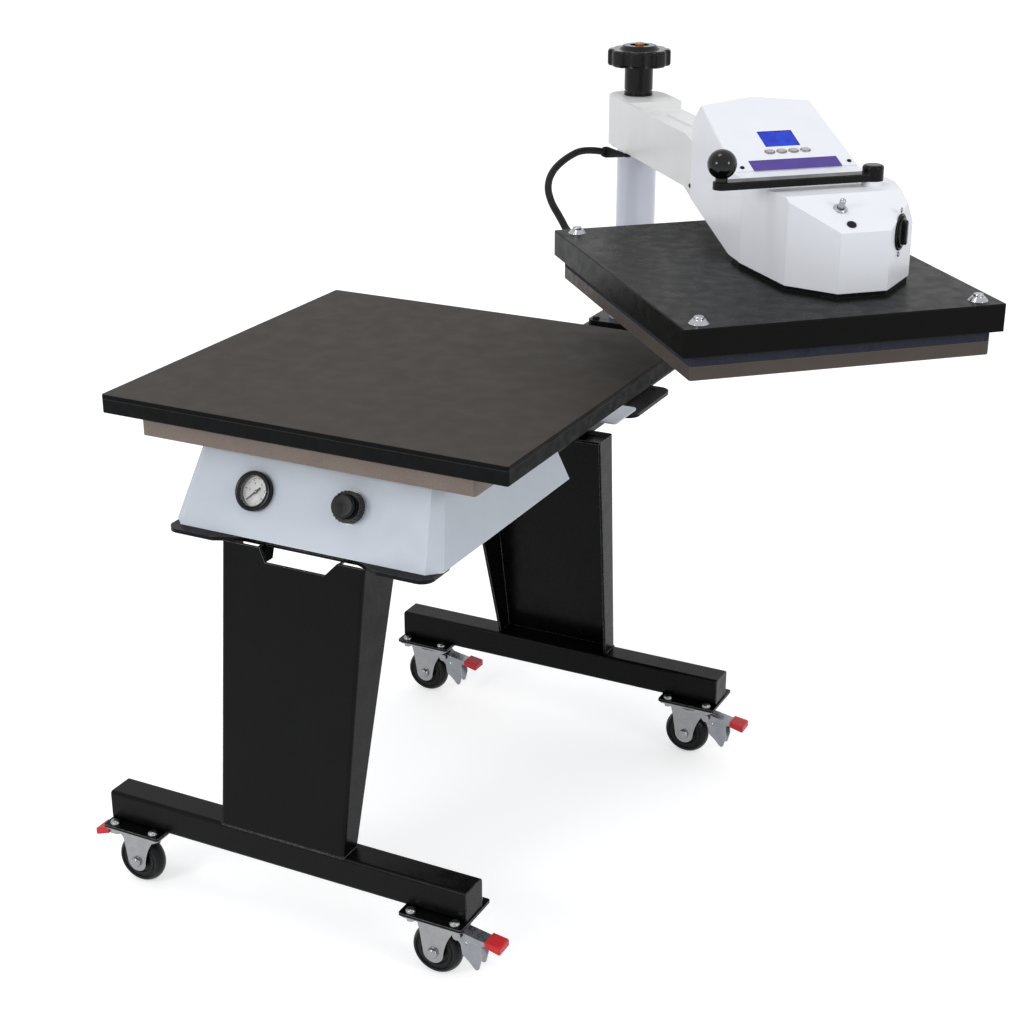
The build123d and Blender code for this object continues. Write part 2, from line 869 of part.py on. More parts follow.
with BuildPart() as piston_rod:
    with BuildSketch(Plane.XY.offset(cylinder_bottom + 10)):
        with Locations((table_x, table_y)):
            Circle(bore_radius_cylinder - running_gap)
    extrude(amount=12)
    with BuildSketch(Plane.XY.offset(cylinder_bottom + 20)):
        with Locations((table_x, table_y)):
            Circle(rod_radius_piston)
    extrude(amount=lift_plate_bottom - cylinder_bottom - 20)
    with BuildSketch(Plane.XY.offset(lift_plate_bottom)):
        with Locations((table_x, table_y)):
            RectangleRounded(*lift_plate_size, 12)
    extrude(amount=board_bottom - lift_plate_bottom)
save(piston_rod, "piston_rod")

with BuildPart() as guide_rods:
    with BuildSketch(Plane.XY.offset(515)):
        with Locations(*guide_points):
            Circle(guide_radius)
    extrude(amount=lift_plate_bottom - 515)
save(guide_rods, "guide_rods")

# Lower table

plate_bottom = table_top - pad_thickness - plate_thickness
pad_bottom = table_top - pad_thickness
with BuildPart() as lower_board:
    with BuildSketch(Plane.XY.offset(board_bottom)):
        with Locations((table_x, table_y)):
            Rectangle(table_width - 2 * board_side_inset, table_depth - 2 * board_front_inset)
    extrude(amount=plate_bottom - board_bottom)
    chamfer(lower_board.edges().filter_by(Axis.Z), length=3)
save(lower_board, "lower_board")

with BuildPart() as table_plate:
    with BuildSketch(Plane.XY.offset(plate_bottom)):
        with Locations((table_x, table_y)):
            Rectangle(table_width, table_depth)
    extrude(amount=plate_thickness)
    fillet(table_plate.edges().filter_by(Axis.Z), radius=3)
    chamfer(table_plate.faces().sort_by(Axis.Z)[0].edges(), length=1)
save(table_plate, "table_plate")

with BuildPart() as table_pad:
    with BuildSketch(Plane.XY.offset(pad_bottom)):
        with Locations((table_x, table_y)):
            Rectangle(table_width, table_depth)
    extrude(amount=pad_thickness)
    fillet(table_pad.edges().filter_by(Axis.Z), radius=3)
    fillet(table_pad.faces().sort_by(Axis.Z)[-1].edges(), radius=1.5)
save(table_pad, "table_pad")

# Column with its base plate, top plug and fixed threaded rod

with BuildPart() as column_base_plate:
    # Hollow riser under the plate
    with BuildSketch(Plane.XY.offset(riser_bottom)):
        with Locations((column_x, column_y)):
            Rectangle(*riser_size)
            Rectangle(riser_size[0] - 12, riser_size[1] - 12, mode=Mode.SUBTRACT)
    extrude(amount=riser_top - riser_bottom)
    with BuildSketch(Plane.XY.offset(riser_top)):
        with Locations((column_x, column_y)):
            RectangleRounded(base_plate_size, base_plate_size, 10)
    extrude(amount=column_foot - riser_top)
    with Locations((column_x, column_y, column_foot)):
        with GridLocations(96, 96, 2, 2):
            Hole(5, depth=9)
    # Button-head screws sunk in the plate
    with BuildSketch(Plane.XY.offset(column_foot - 9)):
        with Locations((column_x, column_y)):
            with GridLocations(96, 96, 2, 2):
                Circle(4)
    extrude(amount=9.5)
    with BuildSketch(Plane.XY.offset(column_foot + 0.4)):
        with Locations((column_x, column_y)):
            with GridLocations(96, 96, 2, 2):
                Circle(7)
    extrude(amount=4, taper=30)
save(column_base_plate, "column_base_plate")

plug_thickness = 20
with BuildPart() as column:
    with BuildSketch(Plane.XY.offset(column_foot)):
        with Locations((column_x, column_y)):
            Circle(column_radius)
            Circle(column_radius - column_wall, mode=Mode.SUBTRACT)
    extrude(amount=column_top - column_foot)
    with BuildSketch(Plane.XY.offset(column_top - plug_thickness)):
        with Locations((column_x, column_y)):
            Circle(column_radius)
            Circle(rod_radius + running_gap, mode=Mode.SUBTRACT)
    extrude(amount=plug_thickness)
    with BuildSketch(Plane.XY.offset(column_foot)):
        with Locations((column_x, column_y)):
            Circle(42)
            Circle(column_radius - column_wall, mode=Mode.SUBTRACT)
    extrude(amount=14)
    collar_rim = column.edges().filter_by(GeomType.CIRCLE).filter_by(lambda e: e.radius > 41)
    chamfer(collar_rim.sort_by(Axis.Z)[-1], length=3)
save(column, "column")

with BuildPart() as threaded_rod:
    with BuildSketch(Plane.XY.offset(column_top - 60)):
        with Locations((column_x, column_y)):
            Circle(rod_radius)
    extrude(amount=rod_top - column_top + 60)
    chamfer(threaded_rod.edges().sort_by(Axis.Z)[-1], length=2)
    # Nut under the column's plug
    with BuildSketch(Plane.XY.offset(column_top - plug_thickness - 13)):
        with Locations((column_x, column_y)):
            RegularPolygon(14, 6)
    extrude(amount=13)
save(threaded_rod, "threaded_rod")

# Carriage: a sleeve on the column that the arm swings on

sleeve_top = arm_top - 9
flange_thickness = 4
with BuildPart() as carriage_sleeve:
    with BuildSketch(Plane.XY.offset(arm_bottom - 0.3)):
        with Locations((column_x, column_y)):
            Circle(sleeve_radius)
    extrude(amount=sleeve_top - arm_bottom)
    with BuildSketch(Plane.XY.offset(arm_bottom - 0.3)):
        with Locations((column_x, column_y)):
            Circle(sleeve_radius + 4)
    extrude(amount=-flange_thickness)
    with BuildSketch(Plane.XY.offset(arm_bottom - flange_thickness - 1)):
        with Locations((column_x, column_y)):
            Circle(column_radius + running_gap)
    extrude(amount=sleeve_top - 7 - arm_bottom + flange_thickness + 1, mode=Mode.SUBTRACT)
    with BuildSketch(Plane.XY.offset(arm_bottom)):
        with Locations((column_x, column_y)):
            Circle(rod_radius + 0.5)
    extrude(amount=90, mode=Mode.SUBTRACT)
save(carriage_sleeve, "carriage_sleeve")

# Swing arm: boss, folded sides, inner beam and the pillar that carries the heated platen

dip_start = 345
dip_end = 374
dip_depth = 11
beam_bottom = 945
beam_height = 38
beam_width = 36
pillar_out = 702
pillar_radius = 28
front_round = 7
deck_top = 1000
deck_start = 75
with BuildPart() as arm:
    with BuildSketch(head_side.offset(-arm_half_width)):
        with BuildLine():
            Polyline(
                (-arm_half_width, arm_bottom),
                (-arm_half_width, arm_top),
                (dip_start, arm_top),
                (dip_end, arm_top - front_round),
                (arm_front, arm_top - front_round),
                (arm_front, arm_bottom - dip_depth),
                (dip_end, arm_bottom - dip_depth),
                (dip_start, arm_bottom),
                close=True,
            )
        make_face()
    extrude(amount=2 * arm_half_width)
    with BuildSketch(at_head(arm_bottom - 20)):
        Circle(arm_half_width)
        with Locations((0, -arm_front / 2)):
            Rectangle(2 * arm_half_width, arm_front)
    extrude(amount=120, mode=Mode.INTERSECT)
    # Deck between the sides, lower than the boss and the near side
    with BuildSketch(at_head(deck_top)):
        with Locations((arm_wall, -(deck_start + arm_front + 5) / 2)):
            Rectangle(2 * arm_half_width, arm_front + 5 - deck_start)
    extrude(amount=40, mode=Mode.SUBTRACT)
    # Raised plate on the deck
    with BuildSketch(at_head(deck_top)):
        with Locations((15.5, -180)):
            Rectangle(23, 104)
    extrude(amount=3)
    # Hollow between the sides, open below
    with BuildSketch(at_head(arm_bottom - 20)):
        with Locations((0, -(55 + arm_front + 5) / 2)):
            Rectangle(2 * (arm_half_width - arm_wall), arm_front + 5 - 55)
    extrude(amount=deck_top - arm_wall - arm_bottom + 20, mode=Mode.SUBTRACT)
    # Tab across the bottom for the cable entry
    with BuildSketch(at_head(arm_bottom)):
        with Locations((0, -90)):
            Rectangle(2 * arm_half_width - 2, 70)
    extrude(amount=arm_wall)
    # Beam and pillar
    with BuildSketch(at_head(beam_bottom)):
        with Locations((0, -380)):
            Rectangle(beam_width, 660)
    extrude(amount=beam_height)
    with BuildSketch(at_head(housing_bottom)):
        with Locations((0, -pillar_out)):
            Circle(pillar_radius)
    extrude(amount=60)
    # Bore for the sleeve and hole for the rod
    with BuildSketch(at_head(arm_bottom - 1)):
        Circle(sleeve_radius + running_gap)
    extrude(amount=sleeve_top + 0.3 - arm_bottom + 1, mode=Mode.SUBTRACT)
    with BuildSketch(at_head(arm_bottom)):
        Circle(rod_radius + 0.5)
    extrude(amount=90, mode=Mode.SUBTRACT)
save(arm, "arm")

# Star knob on the threaded rod

knob_bottom = arm_top + 0.3
lobe_count = 8
star_bottom = 1061
star_top = 1088
with BuildPart() as star_head:
    with BuildSketch(Plane.XY.offset(star_bottom)) as star:
        with Locations((column_x, column_y)):
            Circle(52)
            with PolarLocations(59, lobe_count):
                Circle(12, mode=Mode.SUBTRACT)
        fillet(star.vertices(), radius=7)
    extrude(amount=star_top - star_bottom)
    fillet(star_head.faces().filter_by(Axis.Z).edges(), radius=5)

with BuildPart() as star_knob:
    with BuildSketch(Plane.XY.offset(knob_bottom)):
        with Locations((column_x, column_y)):
            Circle(23.5)
    extrude(amount=6)
    with BuildSketch(Plane.XY.offset(knob_bottom + 6)):
        with Locations((column_x, column_y)):
            Circle(22)
    extrude(amount=3)
    with BuildSketch(Plane.XY.offset(knob_bottom + 9)):
        with Locations((column_x, column_y)):
            Circle(23.5)
    extrude(amount=star_bottom - knob_bottom - 9)
    add(star_head.part)
    with BuildSketch(Plane.XY.offset(star_top)):
        with Locations((column_x, column_y)):
            Circle(34)
    extrude(amount=6, taper=50)
    with BuildSketch(Plane.XY.offset(star_top - 3)):
        with Locations((column_x, column_y)):
            Circle(16)
    extrude(amount=12, mode=Mode.SUBTRACT)
    with BuildSketch(Plane.XY.offset(knob_bottom - 1)):
        with Locations((column_x, column_y)):
            Circle(rod_radius + running_gap)
    extrude(amount=90, mode=Mode.SUBTRACT)
save(star_knob, "star_knob")

# Control housing: a sheet-metal cover with a sloping control face and a faceted nose

housing_rear = arm_front
seam_out = 674
nose_out = 858
slope_start = 791
slope_end_height = 979
face_foot_out = 643
face_half = 91
apex_out = 471
apex_height = 1084.5
corner_half = 83
corner_out = 487
corner_height = 1078
rear_edge_height = 1050
housing_outline = (
    (-80, -housing_rear),
    (80, -housing_rear),
    (92, -seam_out),
    (93, -seam_out),
    (95, -797),
    (34, -nose_out),
    (-34, -nose_out),
    (-82, -800),
    (-93, -seam_out),
    (-92, -seam_out),
)
face_cut = plane_over(
    (-face_half, face_foot_out, plateau_height),
    (face_half, face_foot_out, plateau_height),
    (0, apex_out, apex_height),
)
right_back_cut = plane_over(
    (0, apex_out, apex_height),
    (corner_half, corner_out, corner_height),
    (81, housing_rear, rear_edge_height),
)
left_back_cut = plane_over(
    (0, apex_out, apex_height),
    (-corner_half, corner_out, corner_height),
    (-81, housing_rear, rear_edge_height),
)
nose_cut = plane_over(
    (-60, slope_start, plateau_height),
    (60, slope_start, plateau_height),
    (0, nose_out, slope_end_height),
)
shoulder_cut = plane_over((80, 787, plateau_height), (94, 741, plateau_height), (95.5, 797, 971))
under_cut = plane_over((-60, housing_rear, 941), (60, housing_rear, 941), (0, 620, 903))


def housing_block(shrink):
    """The solid volume of the housing, with every wall moved inward by one distance."""
    with BuildPart() as tall:
        with BuildSketch(at_head(housing_bottom)):
            with BuildLine():
                Polyline(*housing_outline, close=True)
            make_face()
            if shrink:
                offset(amount=-shrink, kind=Kind.INTERSECTION)
        extrude(amount=200)
        split(bisect_by=face_cut.offset(-shrink), keep=Keep.BOTTOM)
        split(bisect_by=right_back_cut.offset(-shrink), keep=Keep.BOTTOM)
        split(bisect_by=left_back_cut.offset(-shrink), keep=Keep.BOTTOM)
    with BuildPart() as low:
        with BuildSketch(at_head(housing_bottom)):
            with BuildLine():
                Polyline(*housing_outline, close=True)
            make_face()
            if shrink:
                offset(amount=-shrink, kind=Kind.INTERSECTION)
        extrude(amount=plateau_height - shrink - housing_bottom)
        split(bisect_by=nose_cut.offset(-shrink), keep=Keep.BOTTOM)
        split(bisect_by=shoulder_cut.offset(-shrink), keep=Keep.BOTTOM)
    with BuildPart() as block:
        add(tall.part)
        add(low.part)
        # The underside rises toward the column
        split(bisect_by=under_cut.offset(shrink), keep=Keep.TOP)
    return block


# The control face, with X across to the right and Y up the slope
face_plane = Plane(
    origin=head_point(0, face_foot_out, plateau_height),
    x_dir=head_plane.x_dir,
    z_dir=face_cut.z_dir,
)
screen_centre = (0, 76)
screen_size = (51, 38)
button_row = (-24.5, -7, 10.5, 28)
button_height = 44.5
button_size = (12, 8)
button_gap = 0.5
toggle_out = 817
toggle_across = -18.5
toggle_hole = 5.5
nose_normal = nose_cut.z_dir
nose_fall = (plateau_height - slope_end_height) / (nose_out - slope_start)
toggle_height = plateau_height - (toggle_out - slope_start) * nose_fall
toggle_plane = Plane(
    origin=head_point(toggle_across, toggle_out, toggle_height),
    x_dir=head_plane.x_dir,
    z_dir=nose_normal,
)
switch_normal = (head_plane.x_dir - head_plane.y_dir).normalized()
switch_plane = Plane(
    origin=head_point(58.5, 833.5, 969.5),
    x_dir=(head_plane.x_dir + head_plane.y_dir).normalized(),
    z_dir=switch_normal,
)
switch_radii = (17, 20)
switch_gap = 1
pivot_across = 56
pivot_out = 752
stud_radius = 5
stud_top = 1034
bar_bottom = 1020
bar_top = 1030

housing_outer = housing_block(0)
housing_inner = housing_block(sheet)
with BuildPart() as housing_shell:
    add(housing_outer.part)
    add(housing_inner.part, mode=Mode.SUBTRACT)
    # Open bottom over the base plate
    with BuildSketch(at_head(housing_bottom - 1)):
        with BuildLine():
            Polyline(
                (84, -632),
                (88, -seam_out),
                (90, -794),
                (32, -853),
                (-32, -853),
                (-78, -797),
                (-88, -seam_out),
                (-84, -632),
                close=True,
            )
        make_face()
    extrude(amount=8, mode=Mode.SUBTRACT)
    # Opening in the back wall for the beam
    with BuildSketch(head_side.offset(-beam_width / 2 - 1)):
        with Locations((housing_rear, beam_bottom + beam_height / 2)):
            Rectangle(10, beam_height + 2)
    extrude(amount=beam_width + 2, mode=Mode.SUBTRACT)
    # Openings for the buttons, the toggle and the power switch
    with BuildSketch(face_plane.offset(-5)):
        for across in button_row:
            with Locations((across, button_height)):
                Ellipse(button_size[0] / 2 + button_gap, button_size[1] / 2 + button_gap)
    extrude(amount=10, mode=Mode.SUBTRACT)
    with BuildSketch(toggle_plane.offset(-5)):
        Circle(toggle_hole)
    extrude(amount=10, mode=Mode.SUBTRACT)
    with BuildSketch(switch_plane.offset(-5)):
        Ellipse(switch_radii[0] + switch_gap, switch_radii[1] + switch_gap)
    extrude(amount=10, mode=Mode.SUBTRACT)
    # Boss and stud for the handle
    with BuildSketch(at_head(plateau_height - sheet)):
        with Locations((pivot_across, -pivot_out)):
            Circle(14)
    extrude(amount=bar_bottom - 0.3 - plateau_height + sheet)
    with BuildSketch(at_head(plateau_height)):
        with Locations((pivot_across, -pivot_out)):
            Circle(stud_radius)
    extrude(amount=stud_top - plateau_height)
save(housing_shell, "housing_shell")

base_inset = 1.5
with BuildPart() as housing_base:
    with BuildSketch(at_head(cover_top)):
        with BuildLine():
            Polyline(
                (-88, -640),
                (88, -640),
                (92, -seam_out),
                (95 - base_inset, -796),
                (33, -nose_out + base_inset),
                (-33, -nose_out + base_inset),
                (-82 + base_inset, -799),
                (-92, -seam_out),
                close=True,
            )
        make_face()
    extrude(amount=housing_bottom - cover_top)
save(housing_base, "housing_base")

panel_sheet = 1.5
with BuildPart() as control_panel:
    with BuildSketch(face_plane):
        with BuildLine():
            Polyline(
                (-88.5, 3),
                (88.5, 3),
                (81.5, 167.5),
                (0, 184),
                (-81.5, 167.5),
                close=True,
            )
        make_face()
    extrude(amount=panel_sheet)
    fillet(control_panel.edges().filter_by(Axis(face_plane.origin, face_plane.z_dir)), radius=2)
    with BuildSketch(face_plane.offset(-1)):
        with Locations(screen_centre):
            Rectangle(*screen_size)
        for across in button_row:
            with Locations((across, button_height)):
                Ellipse(button_size[0] / 2 + button_gap, button_size[1] / 2 + button_gap)
    extrude(amount=6, mode=Mode.SUBTRACT)
save(control_panel, "control_panel")

with BuildPart() as lcd_screen:
    with BuildSketch(face_plane):
        with Locations(screen_centre):
            Rectangle(*screen_size)
    extrude(amount=panel_sheet - 0.5)
save(lcd_screen, "lcd_screen")

# Four sprung buttons, each held by a flange behind the sheet
button_rise = 4
button_travel = 1.5
flange_depth = sheet + 0.3
for number, across in enumerate(button_row, start=1):
    with BuildPart() as display_button:
        with BuildSketch(face_plane.offset(-flange_depth - 1)):
            with Locations((across, button_height)):
                Ellipse(button_size[0] / 2, button_size[1] / 2)
        extrude(amount=flange_depth + 1 + button_rise)
        button_top = display_button.faces().sort_by(Axis(face_plane.origin, face_plane.z_dir))[-1]
        fillet(button_top.edges(), radius=1)
        with BuildSketch(face_plane.offset(-flange_depth - 2)):
            with Locations((across, button_height)):
                Ellipse(button_size[0] / 2 + 1.5, button_size[1] / 2 + 1.5)
        extrude(amount=2)
    save(display_button, f"display_button_{number}")

# Handle bar with its pivot cap, and the ball

ball_across = -155
ball_centre = 1052
ball_radius = 19
with BuildPart() as handle_bar:
    with BuildSketch(at_head(bar_bottom)):
        with Locations(((pivot_across + ball_across) / 2, -pivot_out)):
            SlotOverall(pivot_across - ball_across + 22, 22)
    extrude(amount=bar_top - bar_bottom)
    fillet(handle_bar.faces().sort_by(Axis.Z)[-1].edges(), radius=1.5)
    with BuildSketch(at_head(bar_bottom)):
        with Locations((pivot_across, -pivot_out)):
            Circle(14)
    extrude(amount=1040 - bar_bottom)
    fillet(handle_bar.faces().sort_by(Axis.Z)[-1].edges(), radius=4)
    with BuildSketch(at_head(bar_bottom)):
        with Locations((pivot_across, -pivot_out)):
            Circle(stud_radius + running_gap)
    extrude(amount=stud_top + 0.4 - bar_bottom, mode=Mode.SUBTRACT)
save(handle_bar, "handle_bar")

with BuildPart() as handle_ball:
    with BuildSketch(at_head(bar_top)):
        with Locations((ball_across, -pivot_out)):
            Circle(8)
    extrude(amount=8)
    with Locations(head_point(ball_across, pivot_out, ball_centre)):
        Sphere(ball_radius)
save(handle_ball, "handle_ball")

# Power switch: an oval rocker with a ridge down its middle

with BuildPart() as power_switch:
    with BuildSketch(switch_plane.offset(-4)):
        Ellipse(*switch_radii)
    extrude(amount=9)
    switch_face = power_switch.faces().sort_by(Axis(switch_plane.origin, switch_plane.z_dir))[-1]
    fillet(switch_face.edges(), radius=2.5)
    with BuildSketch(switch_plane.offset(2)):
        SlotOverall(32, 8, rotation=90)
    extrude(amount=8)
    ridge_top = power_switch.faces().sort_by(Axis(switch_plane.origin, switch_plane.z_dir))[-1]
    fillet(ridge_top.edges(), radius=2)
save(power_switch, "power_switch")

# Toggle: a round-ended lever with a ball below the sheet

with BuildPart() as toggle_switch:
    with BuildSketch(toggle_plane.offset(-10)):
        Circle(4)
    extrude(amount=26)
    toggle_tip = toggle_switch.faces().sort_by(Axis(toggle_plane.origin, toggle_plane.z_dir))[-1]
    fillet(toggle_tip.edges(), radius=3.6)
    with Locations(toggle_plane.from_local_coords(Vector(0, 0, -11))):
        Sphere(6.5)
save(toggle_switch, "toggle_switch")

# Heated platen, its insulation and its cover

with BuildPart() as heat_platen:
    with BuildSketch(at_head(platen_bottom)):
        with Locations((platen_across, -platen_out)):
            Rectangle(*platen_size)
    extrude(amount=platen_top - platen_bottom)
    fillet(heat_platen.edges().filter_by(Axis.Z), radius=4)
    chamfer(heat_platen.faces().sort_by(Axis.Z)[0].edges(), length=1)
save(heat_platen, "heat_platen")

bolt_hole = 5
stud_x = platen_size[0] - 2 * 15
stud_y = platen_size[1] - 2 * 13
with BuildPart() as insulation_board:
    with BuildSketch(at_head(platen_top)):
        with Locations((platen_across, -platen_out)):
            RectangleRounded(*platen_size, 4)
            with GridLocations(stud_x, stud_y, 2, 2):
                Circle(bolt_hole, mode=Mode.SUBTRACT)
    extrude(amount=cover_top - 3 - platen_top)
save(insulation_board, "insulation_board")

gland_across = -235
gland_height = 880
with BuildPart() as heater_cover:
    with BuildSketch(at_head(cover_bottom)):
        with Locations((platen_across, -platen_out)):
            RectangleRounded(*cover_size, 3)
    extrude(amount=cover_top - cover_bottom)
    fillet(heater_cover.faces().sort_by(Axis.Z)[-1].edges(), radius=1.5)
    with BuildSketch(at_head(cover_bottom - 1)):
        with Locations((platen_across, -platen_out)):
            Rectangle(cover_size[0] - 2 * sheet, cover_size[1] - 2 * sheet)
    extrude(amount=cover_top - 3 - cover_bottom + 1, mode=Mode.SUBTRACT)
    with BuildSketch(at_head(cover_bottom)):
        with Locations((platen_across, -platen_out)):
            with GridLocations(stud_x, stud_y, 2, 2):
                Circle(bolt_hole)
    extrude(amount=50, mode=Mode.SUBTRACT)
save(heater_cover, "heater_cover")

with BuildPart() as cover_bolts:
    with BuildSketch(at_head(platen_top)):
        with Locations((platen_across, -platen_out)):
            with GridLocations(stud_x, stud_y, 2, 2):
                Circle(bolt_hole - 0.5)
    extrude(amount=cover_top - platen_top)
    # Conical washer
    with BuildSketch(at_head(cover_top)):
        with Locations((platen_across, -platen_out)):
            with GridLocations(stud_x, stud_y, 2, 2):
                Circle(13)
    extrude(amount=5, taper=42)
    # Domed head
    with BuildSketch(at_head(cover_top + 5)):
        with Locations((platen_across, -platen_out)):
            with GridLocations(stud_x, stud_y, 2, 2):
                Circle(6.5)
    extrude(amount=4)
    fillet(cover_bolts.faces().filter_by(Axis.Z).group_by(Axis.Z)[-1].edges(), radius=2)
save(cover_bolts, "cover_bolts")

# Heater cable: gland, loop behind the platen, tapered sleeve into the arm

gland_face = platen_out - cover_size[1] / 2
gland_plane = Plane(
    origin=head_point(gland_across, gland_face, gland_height),
    x_dir=head_plane.x_dir,
    z_dir=head_plane.y_dir,
)
with BuildPart() as cable_gland:
    with BuildSketch(gland_plane):
        RegularPolygon(12, 6)
    extrude(amount=7)
    with BuildSketch(gland_plane.offset(7)):
        Circle(9.5)
    extrude(amount=11, taper=10)
save(cable_gland, "cable_gland")

cable_points = (
    (-235, 386, 880),
    (-235, 361, 880),
    (-236, 328, 894),
    (-239, 290, 909),
    (-232, 246, 924),
    (-211, 203, 938),
    (-175, 162, 949),
    (-131, 120, 953),
    (-92, 100, 942),
)
route = [head_point(*point) for point in cable_points]
runs = [(after - before).length for before, after in zip(route, route[1:])]
turns = [
    radians((route[i + 1] - route[i]).get_angle(route[i + 2] - route[i + 1]))
    for i in range(len(route) - 2)
]
bend_radii = [
    0.45 * min(runs[i], runs[i + 1]) / tan(turns[i] / 2)
    for i in range(len(turns))
]
print("cable bend radii", [round(radius) for radius in bend_radii])
with BuildPart() as heater_cable:
    with BuildLine():
        cable_path = FilletPolyline(*route, radius=bend_radii)
    with BuildSketch(Plane(origin=cable_path @ 0, z_dir=cable_path % 0)):
        Circle(cable_radius)
    sweep()
print("cable length", round(cable_path.length), "mm")
print("cable volume ratio", round(heater_cable.part.volume / (cable_path.length * 3.14159 * cable_radius**2), 3))
save(heater_cable, "heater_cable")

sleeve_length = 44
sleeve_plane = Plane(origin=route[-1], z_dir=cable_path % 1)
sleeve_end = sleeve_plane.offset(sleeve_length).origin
tail_route = (sleeve_end, head_point(-39, 73, 927), head_point(-25, 66, 937))
with BuildPart() as cable_sleeve:
    with BuildSketch(sleeve_plane):
        Circle(8)
    with BuildSketch(sleeve_plane.offset(6)):
        Circle(9)
    with BuildSketch(sleeve_plane.offset(sleeve_length)):
        Circle(4)
    loft(ruled=True)
    with BuildLine():
        tail_path = FilletPolyline(*tail_route, radius=14)
    with BuildSketch(Plane(origin=tail_path @ 0, z_dir=tail_path % 0)):
        Circle(3)
    sweep()
    # The tail ends at the underside of the arm
    with BuildSketch(at_head(arm_bottom)):
        with Locations((-30, -70)):
            Rectangle(40, 40)
    extrude(amount=20, mode=Mode.SUBTRACT)
save(cable_sleeve, "cable_sleeve")
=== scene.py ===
import json
from math import cos, pi, radians, sin

import bmesh
import bpy
from mathutils import Matrix, Vector


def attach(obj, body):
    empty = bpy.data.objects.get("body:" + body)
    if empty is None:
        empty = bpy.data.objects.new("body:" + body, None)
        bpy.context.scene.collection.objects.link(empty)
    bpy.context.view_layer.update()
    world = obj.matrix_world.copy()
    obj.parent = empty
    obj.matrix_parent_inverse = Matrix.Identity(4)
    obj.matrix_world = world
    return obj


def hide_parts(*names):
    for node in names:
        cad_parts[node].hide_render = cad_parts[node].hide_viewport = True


# The looks of the swing-away heat press. Metres, in the row frame.

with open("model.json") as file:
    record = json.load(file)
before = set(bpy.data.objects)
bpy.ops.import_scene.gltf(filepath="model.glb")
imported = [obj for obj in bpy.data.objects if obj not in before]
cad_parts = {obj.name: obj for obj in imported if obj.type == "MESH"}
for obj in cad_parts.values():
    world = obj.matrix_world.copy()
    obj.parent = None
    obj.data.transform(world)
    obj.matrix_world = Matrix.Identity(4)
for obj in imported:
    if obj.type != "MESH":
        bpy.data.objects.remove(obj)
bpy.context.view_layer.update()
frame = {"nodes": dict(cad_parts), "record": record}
nodes = frame["nodes"]
MM = 0.001

# Places in millimetres and angles in degrees, the same as in the part's source
column_axis = (-187, 507, 0)
swing_angle = 42.745
face_foot = (0, 643, 1014)
face_run = 172
face_rise = 70.5
nose_start = 791
nose_height = 1014
nose_run = 67
nose_fall = 35
gauge_centre = (-326, -443.018, 614)
gauge_facing = (0, -0.8977, 0.4407)

# The head's frame: the column axis, across to the right, and outward from the column
column = Vector(column_axis) * MM
swing = radians(swing_angle)
across = Vector((cos(swing), sin(swing), 0))
outward = Vector((sin(swing), -cos(swing), 0))
up = Vector((0, 0, 1))


def head(a, b, z):
    """A point of the head, given in millimetres."""
    return column + (across * a + outward * b + up * z) * MM


def place(origin, x, normal):
    """A plane's matrix, from its origin in metres, its X and its normal."""
    x = x.normalized()
    normal = normal.normalized()
    y = normal.cross(x)
    turn = Matrix((x, y, normal)).transposed().to_4x4()
    return Matrix.Translation(origin) @ turn


# Camera

camera_place = (1.028, -2.354, 1.5233)
camera_tilt = pi / 2 - 0.385
camera_pan = 0.469

lens = bpy.data.cameras.new("camera")
lens.lens = 65.04
lens.sensor_width = 36
camera = bpy.data.objects.new("camera", lens)
camera.location = camera_place
camera.rotation_euler = (camera_tilt, 0, camera_pan)
bpy.context.scene.collection.objects.link(camera)
bpy.context.scene.camera = camera
bpy.context.scene.view_settings.view_transform = "Standard"


# Finishes


def linear(red, green, blue):
    """An 8-bit colour as linear light, opaque."""
    shares = [c / 255 for c in (red, green, blue)]
    light = [c / 12.92 if c < 0.04045 else ((c + 0.055) / 1.055) ** 2.4 for c in shares]
    return (*light, 1)


def scaled(colour, factor):
    """A lighter or darker colour, opaque."""
    return (*[min(1, c * factor) for c in colour[:3]], 1)


